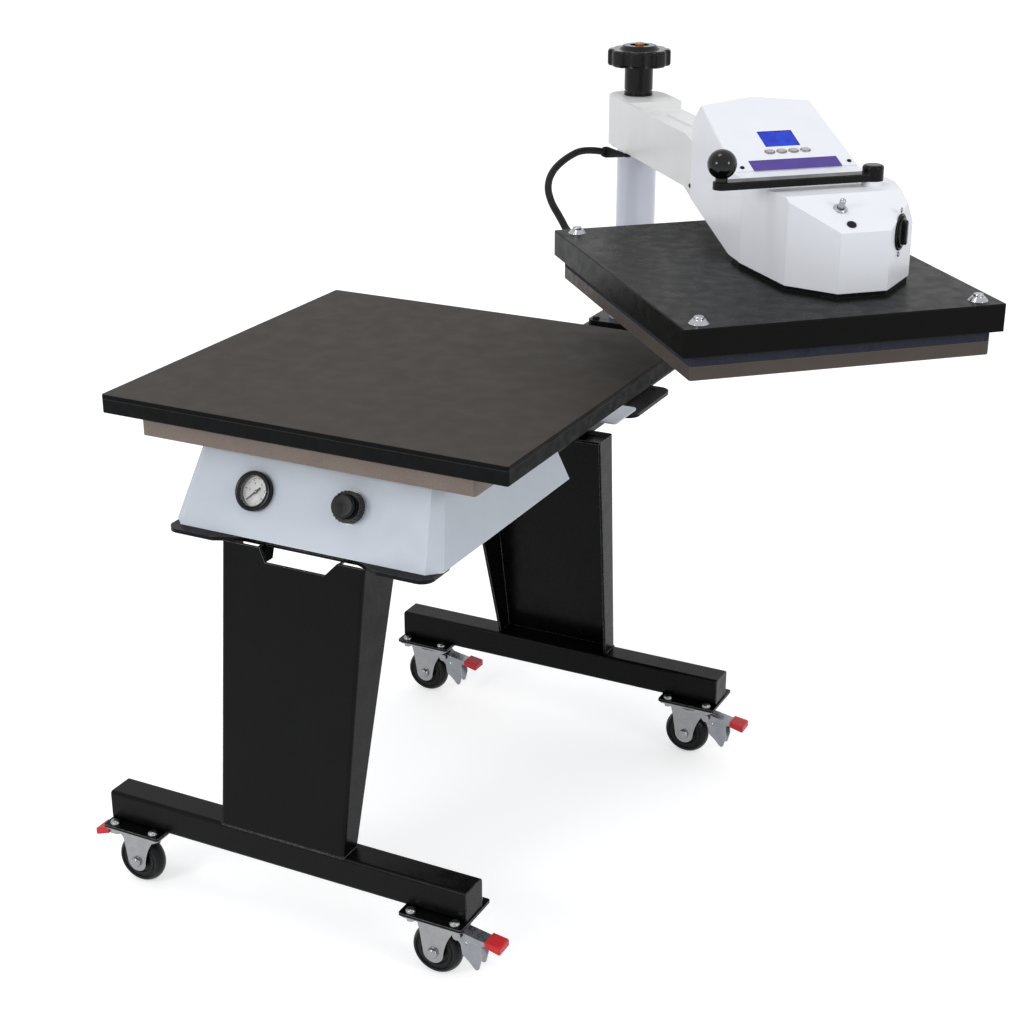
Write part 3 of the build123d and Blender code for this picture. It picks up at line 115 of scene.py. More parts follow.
class Finish:
    """A procedural material: mottled colour, lighter edges as painted highlight and wear, uneven
    gloss and fine relief.
    """

    def __init__(self, name, colour, roughness, metallic=0, specular=0.5, coat=0):
        self.material = bpy.data.materials.new(name)
        self.material.use_nodes = True
        self.tree = self.material.node_tree
        self.shader = self.tree.nodes["Principled BSDF"]
        self.shader.inputs["Metallic"].default_value = metallic
        self.shader.inputs["Specular IOR Level"].default_value = specular
        self.shader.inputs["Coat Weight"].default_value = coat
        self.shader.inputs["Coat Roughness"].default_value = 0.08
        self.colour = colour
        self.roughness = roughness
        self.space = self.node("ShaderNodeTexCoord").outputs["Object"]
        self.shade = None
        self.normal = None

    def node(self, kind, **values):
        made = self.tree.nodes.new(kind)
        for key, value in values.items():
            setattr(made, key, value)
        return made

    def link(self, start, end):
        self.tree.links.new(start, end)

    def noise(self, scale, detail=3, stretch=(1, 1, 1), shift=0.0):
        """Noise of that many features in a metre, stretched along the axes."""
        mapping = self.node("ShaderNodeMapping")
        mapping.inputs["Scale"].default_value = stretch
        mapping.inputs["Location"].default_value = (shift, shift, shift)
        self.link(self.space, mapping.inputs["Vector"])
        made = self.node("ShaderNodeTexNoise")
        made.inputs["Scale"].default_value = scale
        made.inputs["Detail"].default_value = detail
        self.link(mapping.outputs[0], made.inputs["Vector"])
        return made.outputs["Fac"]

    def span(self, value, low, high, start=0.35, end=0.65):
        """Maps start to end of a value onto low to high."""
        made = self.node("ShaderNodeMapRange")
        made.inputs["From Min"].default_value = start
        made.inputs["From Max"].default_value = end
        made.inputs["To Min"].default_value = low
        made.inputs["To Max"].default_value = high
        self.link(value, made.inputs["Value"])
        return made.outputs["Result"]

    def mix(self, factor, first, second):
        """Two colours mixed. Each is a colour or an output."""
        made = self.node("ShaderNodeMix", data_type="RGBA")
        for value, socket in ((factor, 0), (first, 6), (second, 7)):
            if isinstance(value, (tuple, float, int)):
                made.inputs[socket].default_value = value
            else:
                self.link(value, made.inputs[socket])
        return made.outputs[2]

    def both(self, first, second):
        """The product of two shares."""
        made = self.node("ShaderNodeMath", operation="MULTIPLY")
        self.link(first, made.inputs[0])
        self.link(second, made.inputs[1])
        return made.outputs[0]

    def mottle(self, amount, scale=18, detail=4):
        """Slow unevenness in the colour."""
        share = self.span(self.noise(scale, detail), 0.0, 1.0)
        first = scaled(self.colour, 1 - amount)
        second = scaled(self.colour, 1 + amount)
        self.shade = self.mix(share, first, second)
        return self

    def speckle(self, colour, amount, scale):
        """Fine flecks of another colour."""
        share = self.span(self.noise(scale, 1, shift=7.3), 0.0, amount, 0.56, 0.68)
        self.shade = self.mix(share, self.shade or self.colour, colour)
        return self

    def gloss(self, amount, scale=60):
        """Roughness that varies round its middle."""
        low = max(0.02, self.roughness - amount)
        high = min(1, self.roughness + amount)
        share = self.span(self.noise(scale, 3, shift=3.1), low, high)
        self.link(share, self.shader.inputs["Roughness"])
        return self

    def soften(self, radius):
        """Edges that catch the light as if slightly rounded."""
        bevel = self.node("ShaderNodeBevel", samples=6)
        bevel.inputs["Radius"].default_value = radius
        self.normal = bevel.outputs["Normal"]
        return self

    def wear_and_highlight(self, colour, amount, radius, scale=120):
        """Painted highlight along the edges, partly wear: another colour there, broken up by noise.
        """
        bevel = self.node("ShaderNodeBevel", samples=6)
        bevel.inputs["Radius"].default_value = radius
        flat = self.node("ShaderNodeNewGeometry")
        dot = self.node("ShaderNodeVectorMath", operation="DOT_PRODUCT")
        self.link(bevel.outputs["Normal"], dot.inputs[0])
        self.link(flat.outputs["Normal"], dot.inputs[1])
        # Where the painted highlight and wear lie along the edges
        edge_highlight = self.span(dot.outputs["Value"], amount, 0.0, 0.86, 0.985)
        broken = self.span(self.noise(scale, 4, shift=1.7), 0.35, 1.0, 0.3, 0.6)
        self.shade = self.mix(self.both(edge_highlight, broken), self.shade or self.colour, colour)
        return self

    def relief(self, height, scale, detail=2, stretch=(1, 1, 1)):
        """Fine bumps of that height in metres."""
        bump = self.node("ShaderNodeBump")
        bump.inputs["Strength"].default_value = 1.0
        bump.inputs["Distance"].default_value = height
        self.link(self.noise(scale, detail, stretch, 11.9), bump.inputs["Height"])
        if self.normal is not None:
            self.link(self.normal, bump.inputs["Normal"])
        self.normal = bump.outputs["Normal"]
        return self

    def shade_sides(self, side_shade, low, high):
        """Painted shade: another colour where the surface doesn't face up."""
        flat = self.node("ShaderNodeNewGeometry")
        parts = self.node("ShaderNodeSeparateXYZ")
        self.link(flat.outputs["Normal"], parts.inputs[0])
        share = self.span(parts.outputs["Z"], 0.0, 1.0, low, high)
        self.shade = self.mix(share, side_shade, self.shade or self.colour)
        return self

    def inside(self, axis, low, high):
        """One between two places along an axis, in metres, and zero elsewhere."""
        parts = self.node("ShaderNodeSeparateXYZ")
        self.link(self.space, parts.inputs[0])
        past_low = self.span(parts.outputs[axis], 0.0, 1.0, low, low + 0.0002)
        before_high = self.span(parts.outputs[axis], 1.0, 0.0, high, high + 0.0002)
        return self.both(past_low, before_high)

    def done(self):
        if self.shade is not None:
            self.link(self.shade, self.shader.inputs["Base Color"])
        else:
            self.shader.inputs["Base Color"].default_value = self.colour
        if not self.shader.inputs["Roughness"].is_linked:
            self.shader.inputs["Roughness"].default_value = self.roughness
        if self.normal is not None:
            self.link(self.normal, self.shader.inputs["Normal"])
        return self.material


def paint(
    name,
    colour,
    roughness,
    specular,
    mottle,
    edge_highlight=None,
    amount=0.0,
    bevel=0.0008,
    bumps=0.00004,
    coat=0,
):
    """Powder coat or enamel, with a slight orange peel, and its edge colour along the edges as
    painted highlight and wear.
    """
    made = Finish(name, colour, roughness, specular=specular, coat=coat).mottle(mottle)
    # A lighter colour along the edges: painted highlight, partly wear
    if edge_highlight is not None:
        made.wear_and_highlight(edge_highlight, amount, bevel * 1.6)
    made.gloss(0.06, 45)
    made.soften(bevel)
    made.relief(bumps, 900, 2)
    return made.done()


def metal(name, colour, roughness, stretch=(1, 1, 1), mottle=0.12):
    """Bare or plated metal with fine tool marks, and a painted highlight along its edges."""
    made = Finish(name, colour, roughness, metallic=1).mottle(mottle, 70)
    # Painted highlight along the edges, partly wear: twice as light as the metal
    made.wear_and_highlight(scaled(colour, 2), 0.55, 0.001)
    made.gloss(0.1, 220)
    made.soften(0.0005)
    made.relief(0.00002, 300, 3, stretch)
    return made.done()


black = linear(8, 8, 9)
# The edge colours below are painted highlights along the edges, partly wear
finishes = {
    "stand_black": paint(
        "stand_powder_coat",
        black,
        roughness=0.28,
        specular=0.1,
        mottle=0.15,
        edge_highlight=linear(165, 166, 169),
        amount=0.6,
        bevel=0.0009,
    ),
    "base_black": paint(
        "base_powder_coat",
        black,
        roughness=0.3,
        specular=0.1,
        mottle=0.15,
        edge_highlight=linear(120, 122, 126),
        amount=0.45,
    ),
    "skirt_grey": paint(
        "skirt_powder_coat",
        linear(192, 199, 208),
        roughness=0.4,
        specular=0.3,
        mottle=0.015,
        edge_highlight=linear(246, 249, 252),
        amount=0.8,
        bevel=0.0012,
    ),
    "arm_white": paint(
        "arm_powder_coat",
        linear(226, 226, 225),
        roughness=0.4,
        specular=0.35,
        mottle=0.015,
        edge_highlight=linear(248, 249, 250),
        amount=0.6,
        bevel=0.0012,
    ),
    "housing_white": paint(
        "housing_powder_coat",
        linear(230, 232, 237),
        roughness=0.34,
        specular=0.35,
        mottle=0.012,
        edge_highlight=linear(252, 253, 255),
        amount=0.7,
        bevel=0.0012,
    ),
    "column_grey": paint(
        "column_enamel",
        linear(200, 204, 216),
        roughness=0.2,
        specular=0.5,
        mottle=0.015,
        bumps=0.00001,
        coat=0.3,
    ),
    "cover_dark": paint(
        "cover_enamel",
        linear(14, 14, 13),
        roughness=0.3,
        specular=0.05,
        mottle=0.03,
        edge_highlight=linear(80, 77, 74),
        amount=0.4,
        bevel=0.0009,
    ),
    "handle_black": paint(
        "handle_powder_coat",
        black,
        roughness=0.26,
        specular=0.14,
        mottle=0.15,
        edge_highlight=linear(92, 92, 95),
        amount=0.45,
    ),
    "zinc": metal("zinc_plate", linear(146, 147, 149), 0.24, mottle=0.05),
    "brake_red": metal("pedal_zinc", linear(140, 143, 148), 0.26, mottle=0.06),
    "chrome": metal("polished_chrome", linear(172, 174, 178), 0.1, mottle=0.03),
    "rod_steel": metal("ground_steel", linear(186, 187, 189), 0.24, stretch=(1, 1, 12)),
    "rod_bronze": metal("turned_bronze", linear(166, 128, 92), 0.3, stretch=(1, 1, 10)),
    "brass_fitting": metal("turned_brass", linear(198, 164, 92), 0.26),
}

# The rear frame plate is black, and the plate that lies across its top is light
light_plate_y = (0.1505, 0.2355)
light_plate_z = (0.565, 0.569)
two_tone = Finish("rear_plate_coat", black, 0.36, specular=0.15).mottle(0.15)
light_plate = two_tone.both(
    two_tone.inside("Y", *light_plate_y),
    two_tone.inside("Z", *light_plate_z),
)
two_tone.shade = two_tone.mix(light_plate, two_tone.shade, linear(200, 206, 214))
two_tone.gloss(0.06, 45).soften(0.0007)
finishes["frame_two_tone"] = two_tone.relief(0.00004, 900).done()


def plastic(name, colour, roughness, specular, coat=0, bumps=0.00001, edge_highlight=None):
    """Moulded plastic, with a painted highlight along its edges when given an edge colour."""
    made = Finish(name, colour, roughness, specular=specular, coat=coat).mottle(0.1, 30)
    if edge_highlight is not None:
        # Painted highlight along the edges, partly wear
        made.wear_and_highlight(edge_highlight, 0.6, 0.001)
    made.gloss(min(0.05, roughness * 0.5), 50)
    made.soften(0.0005)
    made.relief(bumps, 700)
    return made.done()


finishes["knob_black"] = plastic(
    "knob_phenolic",
    linear(6, 6, 7),
    roughness=0.16,
    specular=0.2,
    coat=0.02,
    edge_highlight=linear(96, 97, 100),
)
finishes["tyre_black"] = plastic(
    "wheel_moulding",
    linear(13, 13, 14),
    roughness=0.36,
    specular=0.18,
    bumps=0.00004,
    edge_highlight=linear(70, 71, 73),
)
finishes["ball_black"] = plastic("ball_phenolic", linear(8, 8, 9), 0.08, 0.3, coat=0.05)
finishes["switch_black"] = plastic(
    "switch_moulding", linear(10, 10, 11), 0.24, 0.18, bumps=0.00003
)
finishes["button_grey"] = plastic(
    "button_moulding", linear(172, 170, 166), 0.45, 0.4, bumps=0.00002
)
finishes["cable_black"] = plastic(
    "cable_jacket", linear(13, 13, 14), 0.6, 0.15, bumps=0.00006
)
finishes["dial_white"] = plastic("dial_print", linear(250, 250, 248), 0.5, 0.3)
finishes["needle_black"] = plastic("needle_paint", linear(22, 22, 24), 0.5, 0.3)

pad = Finish("silicone_pad", linear(66, 62, 58), 0.6, specular=0.07).mottle(0.02, 5, 3)
pad.speckle(linear(74, 70, 66), 0.2, 1400)
# Painted shade: the pad's sides near black, darker than its top
pad.shade_sides(linear(10, 10, 11), 0.55, 0.8)
# Painted highlight along the pad's edges, partly wear
pad.wear_and_highlight(linear(120, 118, 115), 0.35, 0.0014, 60)
pad.gloss(0.05, 30)
pad.soften(0.001)
finishes["pad_dark"] = pad.relief(0.00004, 700, 3).done()

plate = Finish("plate_coat", linear(10, 11, 12), 0.6, specular=0.08).mottle(0.15, 30)
plate.speckle(linear(36, 37, 38), 0.5, 900)
# Painted highlight along the plate's edges, partly wear
plate.wear_and_highlight(linear(96, 98, 100), 0.4, 0.0012, 200)
plate.gloss(0.08, 80)
plate.soften(0.0008)
finishes["plate_black"] = plate.relief(0.00016, 700, 4).done()

board = Finish("sealed_board", linear(120, 108, 99), 0.55, specular=0.35).mottle(0.08, 12, 6)
board.speckle(linear(92, 82, 75), 0.6, 900)
# Painted highlight along the board's edges, partly wear
board.wear_and_highlight(linear(160, 148, 138), 0.4, 0.001)
board.gloss(0.08, 60)
board.soften(0.0007)
finishes["board_taupe"] = board.relief(0.00008, 600, 4, (1, 1, 3)).done()

platen = Finish("platen_coat", linear(76, 69, 64), 0.42, specular=0.15).mottle(0.04, 20, 4)
# Painted highlight along the platen's edges, partly wear
platen.wear_and_highlight(linear(150, 146, 140), 0.5, 0.0009)
platen.gloss(0.08, 70)
platen.soften(0.0007)
finishes["platen_taupe"] = platen.relief(0.00004, 700, 3).done()

cloth = Finish("fibre_board", linear(40, 43, 52), 0.8, specular=0.12).mottle(0.1, 60, 5)
cloth.speckle(linear(84, 88, 100), 0.5, 1500)
cloth.gloss(0.08, 100)
finishes["insulation_blue"] = cloth.relief(0.00025, 1100, 4, (1, 1, 2)).done()

screen = Finish("backlit_screen", linear(8, 44, 180), 0.12, specular=0.15)
glow = screen.span(screen.noise(70, 2), 0.0, 1.0)
screen.shade = screen.mix(glow, linear(6, 38, 168), linear(14, 56, 196))
screen.link(screen.shade, screen.shader.inputs["Emission Color"])
screen.shader.inputs["Emission Strength"].default_value = 0.2
finishes["screen_blue"] = screen.gloss(0.04, 40).done()

# A brake pedal's lever is zinc, and the cap over its end is red
caps = Finish("red_cap", linear(200, 40, 46), 0.4, specular=0.3).mottle(0.05, 60)
# Painted highlight along the cap's edges, partly wear
caps.wear_and_highlight(linear(226, 96, 98), 0.4, 0.0008)
caps.gloss(0.06, 90)
caps.soften(0.0006)
finishes["cap_red"] = caps.relief(0.00003, 600).done()

slots = {row["node"]: row["material_slot"] for row in frame["record"]["subparts"]}
for name, node in nodes.items():
    node.data.materials.clear()
    node.data.materials.append(finishes[slots[name]])


# Pieces: each mesh lies where the object is, with its object at the origin


def piece(name, mesh, body, finish, smooth=True):
    """Makes a piece of a bmesh and lets it ride on a body."""
    data = bpy.data.meshes.new(name)
    bmesh.ops.recalc_face_normals(mesh, faces=mesh.faces)
    for face in mesh.faces:
        face.smooth = smooth
    mesh.to_mesh(data)
    mesh.free()
    made = bpy.data.objects.new(name, data)
    bpy.context.scene.collection.objects.link(made)
    data.materials.append(finishes[finish])
    if smooth:
        data.set_sharp_from_angle(angle=radians(35))
    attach(made, body)
    return made


def turned(mesh, matrix, profile, steps=48):
    """Revolves (radius, height) points, in millimetres, about the plane's normal."""
    rings = []
    for radius, height in profile:
        if radius == 0:
            rings.append([mesh.verts.new(matrix @ Vector((0, 0, height * MM)))])
            continue
        ring = []
        for k in range(steps):
            angle = 2 * pi * k / steps
            point = Vector((radius * cos(angle), radius * sin(angle), height)) * MM
            ring.append(mesh.verts.new(matrix @ point))
        rings.append(ring)
    for first, second in zip(rings, rings[1:]):
        for k in range(steps):
            after = (k + 1) % steps
            if len(first) == 1:
                mesh.faces.new((first[0], second[k], second[after]))
            elif len(second) == 1:
                mesh.faces.new((first[k], first[after], second[0]))
            else:
                mesh.faces.new((first[k], first[after], second[after], second[k]))


def slab(mesh, matrix, outline, low, high, rim=0.0):
    """Raises an outline between two heights, in millimetres, with its top edge bevelled by rim."""
    count = len(outline)
    middle = sum((Vector(point) for point in outline), Vector((0, 0))) / count
    levels = [(low, 0.0), (high, 0.0)] if rim == 0 else [(low, 0.0), (high - rim, 0.0), (high, rim)]
    rings = []
    for height, inset in levels:
        ring = []
        for k, point in enumerate(outline):
            corner = Vector(point)
            if inset:
                before = (corner - Vector(outline[k - 1])).normalized()
                after = (Vector(outline[(k + 1) % count]) - corner).normalized()
                inward = after - before
                if inward.length < 1e-6:
                    inward = middle - corner
                inward.normalize()
                if inward.dot(middle - corner) < 0:
                    inward = -inward
                corner = corner + inward * inset * 1.2
            ring.append(mesh.verts.new(matrix @ (Vector((corner.x, corner.y, height)) * MM)))
        rings.append(ring)
    for first, second in zip(rings, rings[1:]):
        for k in range(count):
            after = (k + 1) % count
            mesh.faces.new((first[k], first[after], second[after], second[k]))
    mesh.faces.new(rings[0][::-1])
    mesh.faces.new(rings[-1])


def rounded(width, depth, radius, centre=(0, 0), steps=5):
    """The outline of a rounded rectangle."""
    points = []
    for corner, (sx, sy) in enumerate(((1, 1), (-1, 1), (-1, -1), (1, -1))):
        for k in range(steps + 1):
            angle = pi / 2 * (corner + k / steps)
            x = centre[0] + sx * (width / 2 - radius) + radius * cos(angle)
            y = centre[1] + sy * (depth / 2 - radius) + radius * sin(angle)
            points.append((x, y))
    return points


def oval(half_width, half_depth, steps=40):
    """The outline of an ellipse."""
    angles = [2 * pi * k / steps for k in range(steps)]
    return [(half_width * cos(angle), half_depth * sin(angle)) for angle in angles]


def ringed(mesh, matrix, inner, outer, low, high, rim):
    """A band between two outlines of the same number of points, with rounded upper edges."""
    rows = (
        (low, 0.0),
        (high - rim, 0.0),
        (high, 0.4),
        (high, 0.6),
        (high - rim, 1.0),
        (low, 1.0),
    )
    rings = []
    for height, share in rows:
        ring = []
        for first, second in zip(inner, outer):
            point = Vector(first).lerp(Vector(second), share)
            ring.append(mesh.verts.new(matrix @ (Vector((point.x, point.y, height)) * MM)))
        rings.append(ring)
    count = len(inner)
    for first, second in zip(rings, rings[1:] + rings[:1]):
        for k in range(count):
            after = (k + 1) % count
            mesh.faces.new((first[k], first[after], second[after], second[k]))


def pan_screw(mesh, matrix, radius, height):
    """A domed screw head with a recess."""
    profile = [
        (radius, 0),
        (radius, height * 0.35),
        (radius * 0.88, height * 0.75),
        (radius * 0.6, height * 0.96),
        (radius * 0.3, height),
        (radius * 0.26, height * 0.5),
        (0, height * 0.45),
    ]
    turned(mesh, matrix, profile, 24)


# Heater cable: the route of the CAD cable, as one smooth line

cable_radius = 5.5
route = [
    (-235, 386, 880),
    (-235, 361, 880),
    (-236, 328, 894),
    (-239, 290, 909),
    (-232, 246, 924),
    (-211, 203, 938),
    (-175, 162, 949),
    (-131, 120, 953),
    (-92, 100, 942),
]
cable_line = bpy.data.curves.new("heater_cord", "CURVE")
cable_line.dimensions = "3D"
spline = cable_line.splines.new("NURBS")
spline.points.add(len(route) - 1)
for point, spot in zip(spline.points, route):
    point.co = (*head(*spot), 1)
spline.order_u = 3
spline.use_endpoint_u = True
cable_line.resolution_u = 24
cable_line.bevel_depth = cable_radius * MM
cable_line.bevel_resolution = 8
cable_line.materials.append(finishes["cable_black"])
heater_cord = bpy.data.objects.new("heater_cord", cable_line)
bpy.context.scene.collection.objects.link(heater_cord)
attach(heater_cord, "head")
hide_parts("heater_cable")

# Control face: its band, a black ring round the screen as painted shadow in its recess, the rings
# of the buttons, and two screws

band_size = (129, 24.2)
band_middle = (1.5, 13.9)
screen_middle = (0, 76)
button_row = 44.5
button_places = (-24.5, -7, 10.5, 28)
panel_screws = {"panel_screw_left": (-77, 11), "panel_screw_right": (80, 12.5)}

face_up = -outward * face_run + up * face_rise
face = place(head(*face_foot), across, across.cross(face_up))


def on_face(a, height_up):
    """A plane on the control face, at a place across it and up it."""
    return face @ Matrix.Translation(Vector((a, height_up, 0)) * MM)


stripe = bmesh.new()
slab(stripe, face, rounded(*band_size, 1.5, band_middle), 1.5, 1.9, 0.1)
violet = Finish("violet_label", linear(76, 57, 140), 0.35, specular=0.2)
violet.mottle(0.05, 40).gloss(0.05, 60)
finishes["violet"] = violet.relief(0.00001, 500).done()
piece("label_band", stripe, "head", "violet")

# A thin black ring round the screen: painted shadow along the edges of its recess
shadow_ring = bmesh.new()
shadow_ring_inside = rounded(49.8, 36.8, 0.6, screen_middle)
shadow_ring_outside = rounded(51.4, 38.4, 0.8, screen_middle)
ringed(shadow_ring, face, shadow_ring_inside, shadow_ring_outside, 0.9, 1.6, 0.2)
piece("screen_shadow_ring", shadow_ring, "head", "switch_black")

for number, a in enumerate(button_places, start=1):
    collar = bmesh.new()
    ringed(collar, on_face(a, button_row), oval(6.55, 4.55), oval(7.7, 5.7), 1.4, 2.6, 0.5)
    piece(f"button_ring_{number}", collar, "head", "zinc")

for name, (a, height_up) in panel_screws.items():
    screw = bmesh.new()
    seat = on_face(a, height_up) @ Matrix.Translation(Vector((0, 0, 1.5)) * MM)
    pan_screw(screw, seat, 3.2, 1.8)
    piece(name, screw, "head", "switch_black")

# Toggle's ring and nut, and the plug beside it, on the sloping nose

toggle_place = (-18.5, 817)
toggle_ring = [
    (4.8, -1),
    (4.8, 2.2),
    (5.6, 2.6),
    (7.4, 2.4),
    (8.2, 1.6),
    (8.4, 0.2),
    (9.6, 0.2),
    (9.8, -0.4),
]
plug_place = (-15.2, 844.8)
plug_profile = [
    (6.2, -0.4),
    (6.2, 1.2),
    (5.4, 2.0),
    (2.6, 2.3),
    (2.2, 1.4),
    (0, 1.2),
]

nose_up = -outward * nose_run + up * nose_fall
nose_normal = across.cross(nose_up).normalized()


def nose(a, b):
    """A plane on the nose's slope."""
    height = nose_height - (b - nose_start) * nose_fall / nose_run
    return place(head(a, b, height), across, nose_normal)


ring = bmesh.new()
turned(ring, nose(*toggle_place), toggle_ring)
piece("toggle_ring", ring, "head", "chrome")

plug = bmesh.new()
turned(plug, nose(*plug_place), plug_profile)
piece("nose_plug", plug, "head", "switch_black")

# Power switch: its frame and the two screws of the nose

switch_place = (58.5, 833.5, 969.5)
nose_screws = {"nose_screw_upper": 998, "nose_screw_lower": 941}
corner_run = across - outward
corner_facing = across + outward

frame_ring = bmesh.new()
rocker = place(head(*switch_place), corner_run, corner_facing)
ringed(frame_ring, rocker, oval(17.6, 20.6), oval(20.8, 23.8), -0.6, 2.6, 1.0)
piece("switch_frame", frame_ring, "head", "switch_black")
for name, height in nose_screws.items():
    screw = bmesh.new()
    pan_screw(screw, place(head(57.6, 834.4, height), corner_run, corner_facing), 3.4, 2.0)
    piece(name, screw, "head", "zinc")

# Gauge: a black bezel, a glass, the dial's marks and its numbers

rim_profile = [
    (21.4, 7.0),
    (21.4, 9.4),
    (22.2, 10.6),
    (24.2, 11.4),
    (26.2, 11.0),
    (27.4, 9.6),
    (27.6, 7.6),
    (27.3, 4.0),
]
lens_profile = [(0, 7.4), (21.3, 7.4), (21.3, 8.2), (18, 8.5), (10, 8.7), (0, 8.8)]
dial_start = 225
dial_sweep = 270
mark_count = 41
mark_end = 19.2
number_radius = 11.8
number_height = 4.6

gauge = place(Vector(gauge_centre) * MM, Vector((1, 0, 0)), Vector(gauge_facing))
rim = bmesh.new()
turned(rim, gauge, rim_profile, 64)
piece("gauge_rim", rim, "stand", "knob_black")

glass = Finish("gauge_glass", (1, 1, 1, 1), 0.03, specular=0.5)
glass.shader.inputs["Transmission Weight"].default_value = 1
glass.shader.inputs["IOR"].default_value = 1.45
finishes["glass"] = glass.mottle(0.005, 30).gloss(0.01, 30).done()
lens_mesh = bmesh.new()
turned(lens_mesh, gauge, lens_profile)
piece("gauge_lens", lens_mesh, "stand", "glass")

marks = bmesh.new()
for k in range(mark_count):
    angle = radians(dial_start - dial_sweep * k / (mark_count - 1))
    mark_start = 15.2 if k % 8 == 0 else (16.6 if k % 4 == 0 else 17.6)
    half = 0.32 if k % 4 == 0 else 0.16
    outline = [(mark_start, -half), (mark_end, -half), (mark_end, half), (mark_start, half)]
    slab(marks, gauge @ Matrix.Rotation(angle, 4, "Z"), outline, -2.02, -1.85)
piece("gauge_marks", marks, "stand", "needle_black", smooth=False)

for k in range(6):
    angle = radians(dial_start - dial_sweep * k / 5)
    text = bpy.data.curves.new(f"gauge_number_{k}", "FONT")
    text.body = str(2 * k)
    text.size = number_height * MM
    text.align_x = "CENTER"
    text.align_y = "CENTER"
    text.extrude = 0.05 * MM
    text.materials.append(finishes["needle_black"])
    number = bpy.data.objects.new(f"gauge_number_{k}", text)
    bpy.context.scene.collection.objects.link(number)
    spot = Vector((number_radius * cos(angle), number_radius * sin(angle), -1.9))
    number.matrix_world = gauge @ Matrix.Translation(spot * MM)
    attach(number, "stand")

# Red caps over the ends of the brake pedals

# Each caster's swivel axis, the way its pedal points, the pedal's reach and its lever's slope
cap_half_width = 13.5
casters = {
    "front_left": (-490.5, -524.5, 180, 78.5, 14.1 / 40.5),
    "front_right": (-0.5, -524.5, 0, 82, 9.1 / 52),
    "rear_left": (-416.5, 192.5, 0, 82, 9.1 / 52),
    "rear_right": (73.5, 192.5, 0, 82, 9.1 / 52),
}
for corner, (x, y, turn, reach, slope) in casters.items():
    angle = radians(turn)
    forward = Vector((cos(angle), sin(angle), 0))
    side = Vector((sin(angle), -cos(angle), 0))
    upright = place(Vector((x, y, 0)) * MM, forward, side)
    cap = bmesh.new()
    outline = [
        (reach - 15, 73.1 + 14.5 * slope),
        (reach + 7.2, 72.7),
        (reach + 8.5, 71.3),
        (reach + 8.5, 62.3),
        (reach + 5.8, 61.9),
        (reach - 15, 64.4 + 14.5 * slope),
    ]
    slab(cap, upright, outline, -cap_half_width, cap_half_width)
    made = piece(f"pedal_cap_{corner}", cap, f"brake_{corner}", "cap_red")
    round_edges = made.modifiers.new("round_edges", "BEVEL")
    round_edges.width = 0.9 * MM
    round_edges.segments = 3
    round_edges.limit_method = "ANGLE"
    round_edges.angle_limit = radians(25)

# Weld beads where the pedestals stand on the foot tubes, and a small screw in the arm's side


def bead(name, corners, radius):
    """A weld bead with ripples along a path, in millimetres."""
    points = []
    for first, second in zip(corners, corners[1:]):
        first, second = Vector(first), Vector(second)
        steps = max(1, round((second - first).length / 1.1))
        points += [first.lerp(second, k / steps) for k in range(steps)]
    points.append(Vector(corners[-1]))
    mesh = bmesh.new()
    rings = []
    for k, point in enumerate(points):
        along = (points[min(k + 1, len(points) - 1)] - points[max(k - 1, 0)]).normalized()
        side = along.cross(up).normalized()
        swell = radius * (0.86 + 0.14 * sin(k * 1.9) + 0.05 * sin(k * 0.37))
        ring = []
        for turn in range(8):
            angle = 2 * pi * turn / 8
            offset = side * swell * cos(angle) + up * swell * sin(angle)
            ring.append(mesh.verts.new((point + offset) * MM))
        rings.append(ring)
    for first, second in zip(rings, rings[1:]):
        for turn in range(8):
            after = (turn + 1) % 8
            mesh.faces.new((first[turn], first[after], second[after], second[turn]))
    mesh.faces.new(rings[0][::-1])
    mesh.faces.new(rings[-1])
    piece(name, mesh, "stand", "stand_black")


# A weld's path goes round a pedestal's foot. The rear pedestal is the front one turned half round.
weld_radius = 2.4
weld_height = 149.6
turned_sum = (-424, -332)
front_path = [
    (-342.5, -514),
    (-342.5, -544.5),
    (-341, -546),
    (-145, -546),
    (-143.5, -544.5),
    (-143.5, -514),
]
rear_path = [(turned_sum[0] - x, turned_sum[1] - y) for x, y in front_path]
for name, path in (("weld_front_pedestal", front_path), ("weld_rear_pedestal", rear_path)):
    bead(name, [(x, y, weld_height) for x, y in path], weld_radius)

screw = bmesh.new()
pan_screw(screw, place(head(-48, 370, 940), outward, -across), 3.2, 1.6)
piece("arm_screw", screw, "head", "switch_black")

# Floor, backdrop and light

floor_half = 60
floor_colour = (0.82, 0.82, 0.82, 1)
floor_lift = 0.5
sky_light = (0.76, 0.77, 0.79, 1)
sky_seen = (1, 1, 1, 1)


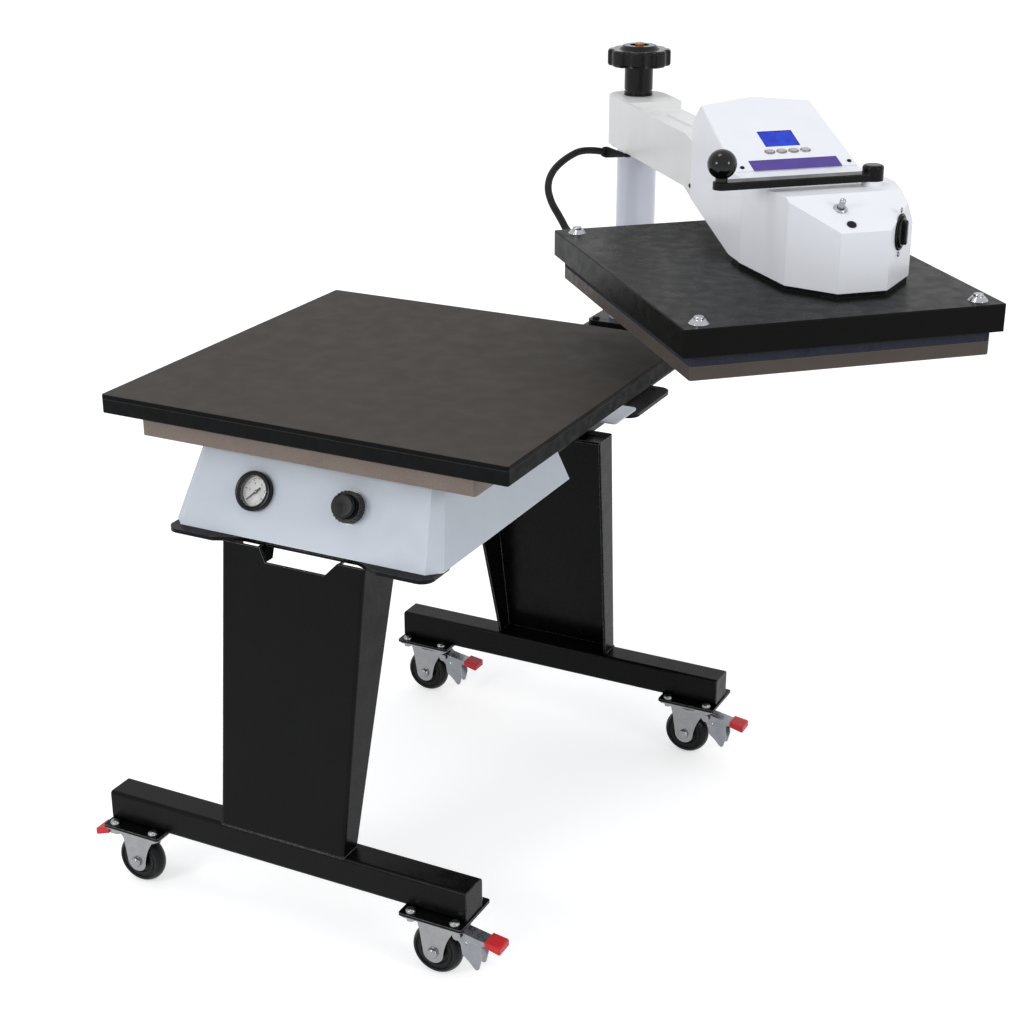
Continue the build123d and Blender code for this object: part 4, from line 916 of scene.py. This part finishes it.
def seen(tree):
    """One on camera, glossy and transmission rays, and zero on the rays that light things."""
    rays = tree.nodes.new("ShaderNodeLightPath")
    share = rays.outputs["Is Camera Ray"]
    for ray in ("Is Glossy Ray", "Is Transmission Ray"):
        either = tree.nodes.new("ShaderNodeMath")
        either.operation = "MAXIMUM"
        tree.links.new(share, either.inputs[0])
        tree.links.new(rays.outputs[ray], either.inputs[1])
        share = either.outputs[0]
    return share


floor_mesh = bmesh.new()
bmesh.ops.create_grid(floor_mesh, x_segments=1, y_segments=1, size=floor_half)
floor_data = bpy.data.meshes.new("floor")
floor_mesh.to_mesh(floor_data)
floor_mesh.free()
floor = bpy.data.objects.new("floor", floor_data)
floor.location = (0, 0, -0.0003)
bpy.context.scene.collection.objects.link(floor)
ground = bpy.data.materials.new("floor_white")
ground.use_nodes = True
matte = ground.node_tree.nodes["Principled BSDF"]
matte.inputs["Base Color"].default_value = floor_colour
matte.inputs["Roughness"].default_value = 0.9
matte.inputs["Specular IOR Level"].default_value = 0
matte.inputs["Emission Color"].default_value = (1, 1, 1, 1)
lift = ground.node_tree.nodes.new("ShaderNodeMath")
lift.operation = "MULTIPLY"
lift.inputs[1].default_value = floor_lift
ground.node_tree.links.new(seen(ground.node_tree), lift.inputs[0])
ground.node_tree.links.new(lift.outputs[0], matte.inputs["Emission Strength"])
floor_data.materials.append(ground)

world = bpy.data.worlds.new("studio")
bpy.context.scene.world = world
world.use_nodes = True
sky = world.node_tree
tone = sky.nodes.new("ShaderNodeMix")
tone.data_type = "RGBA"
tone.inputs[6].default_value = sky_light
tone.inputs[7].default_value = sky_seen
sky.links.new(seen(sky), tone.inputs[0])
sky.links.new(tone.outputs[2], sky.nodes["Background"].inputs["Color"])


def lamp(name, spot, size, power):
    """A panel of light that faces the middle of the object, in metres and watts."""
    light = bpy.data.lights.new(name, "AREA")
    light.shape = "RECTANGLE"
    light.size, light.size_y = size
    light.energy = power
    made = bpy.data.objects.new(name, light)
    made.location = spot
    aim = Vector((0, 0, 0.6)) - Vector(spot)
    made.rotation_euler = aim.to_track_quat("-Z", "Y").to_euler()
    bpy.context.scene.collection.objects.link(made)


lamp("top_panel", (-0.4, -0.5, 3.4), (0.9, 0.9), 12)
lamp("front_panel", (-1.2, -3.2, 1.9), (0.9, 0.7), 24)
lamp("right_panel", (3.0, -0.9, 1.8), (0.7, 0.7), 16)
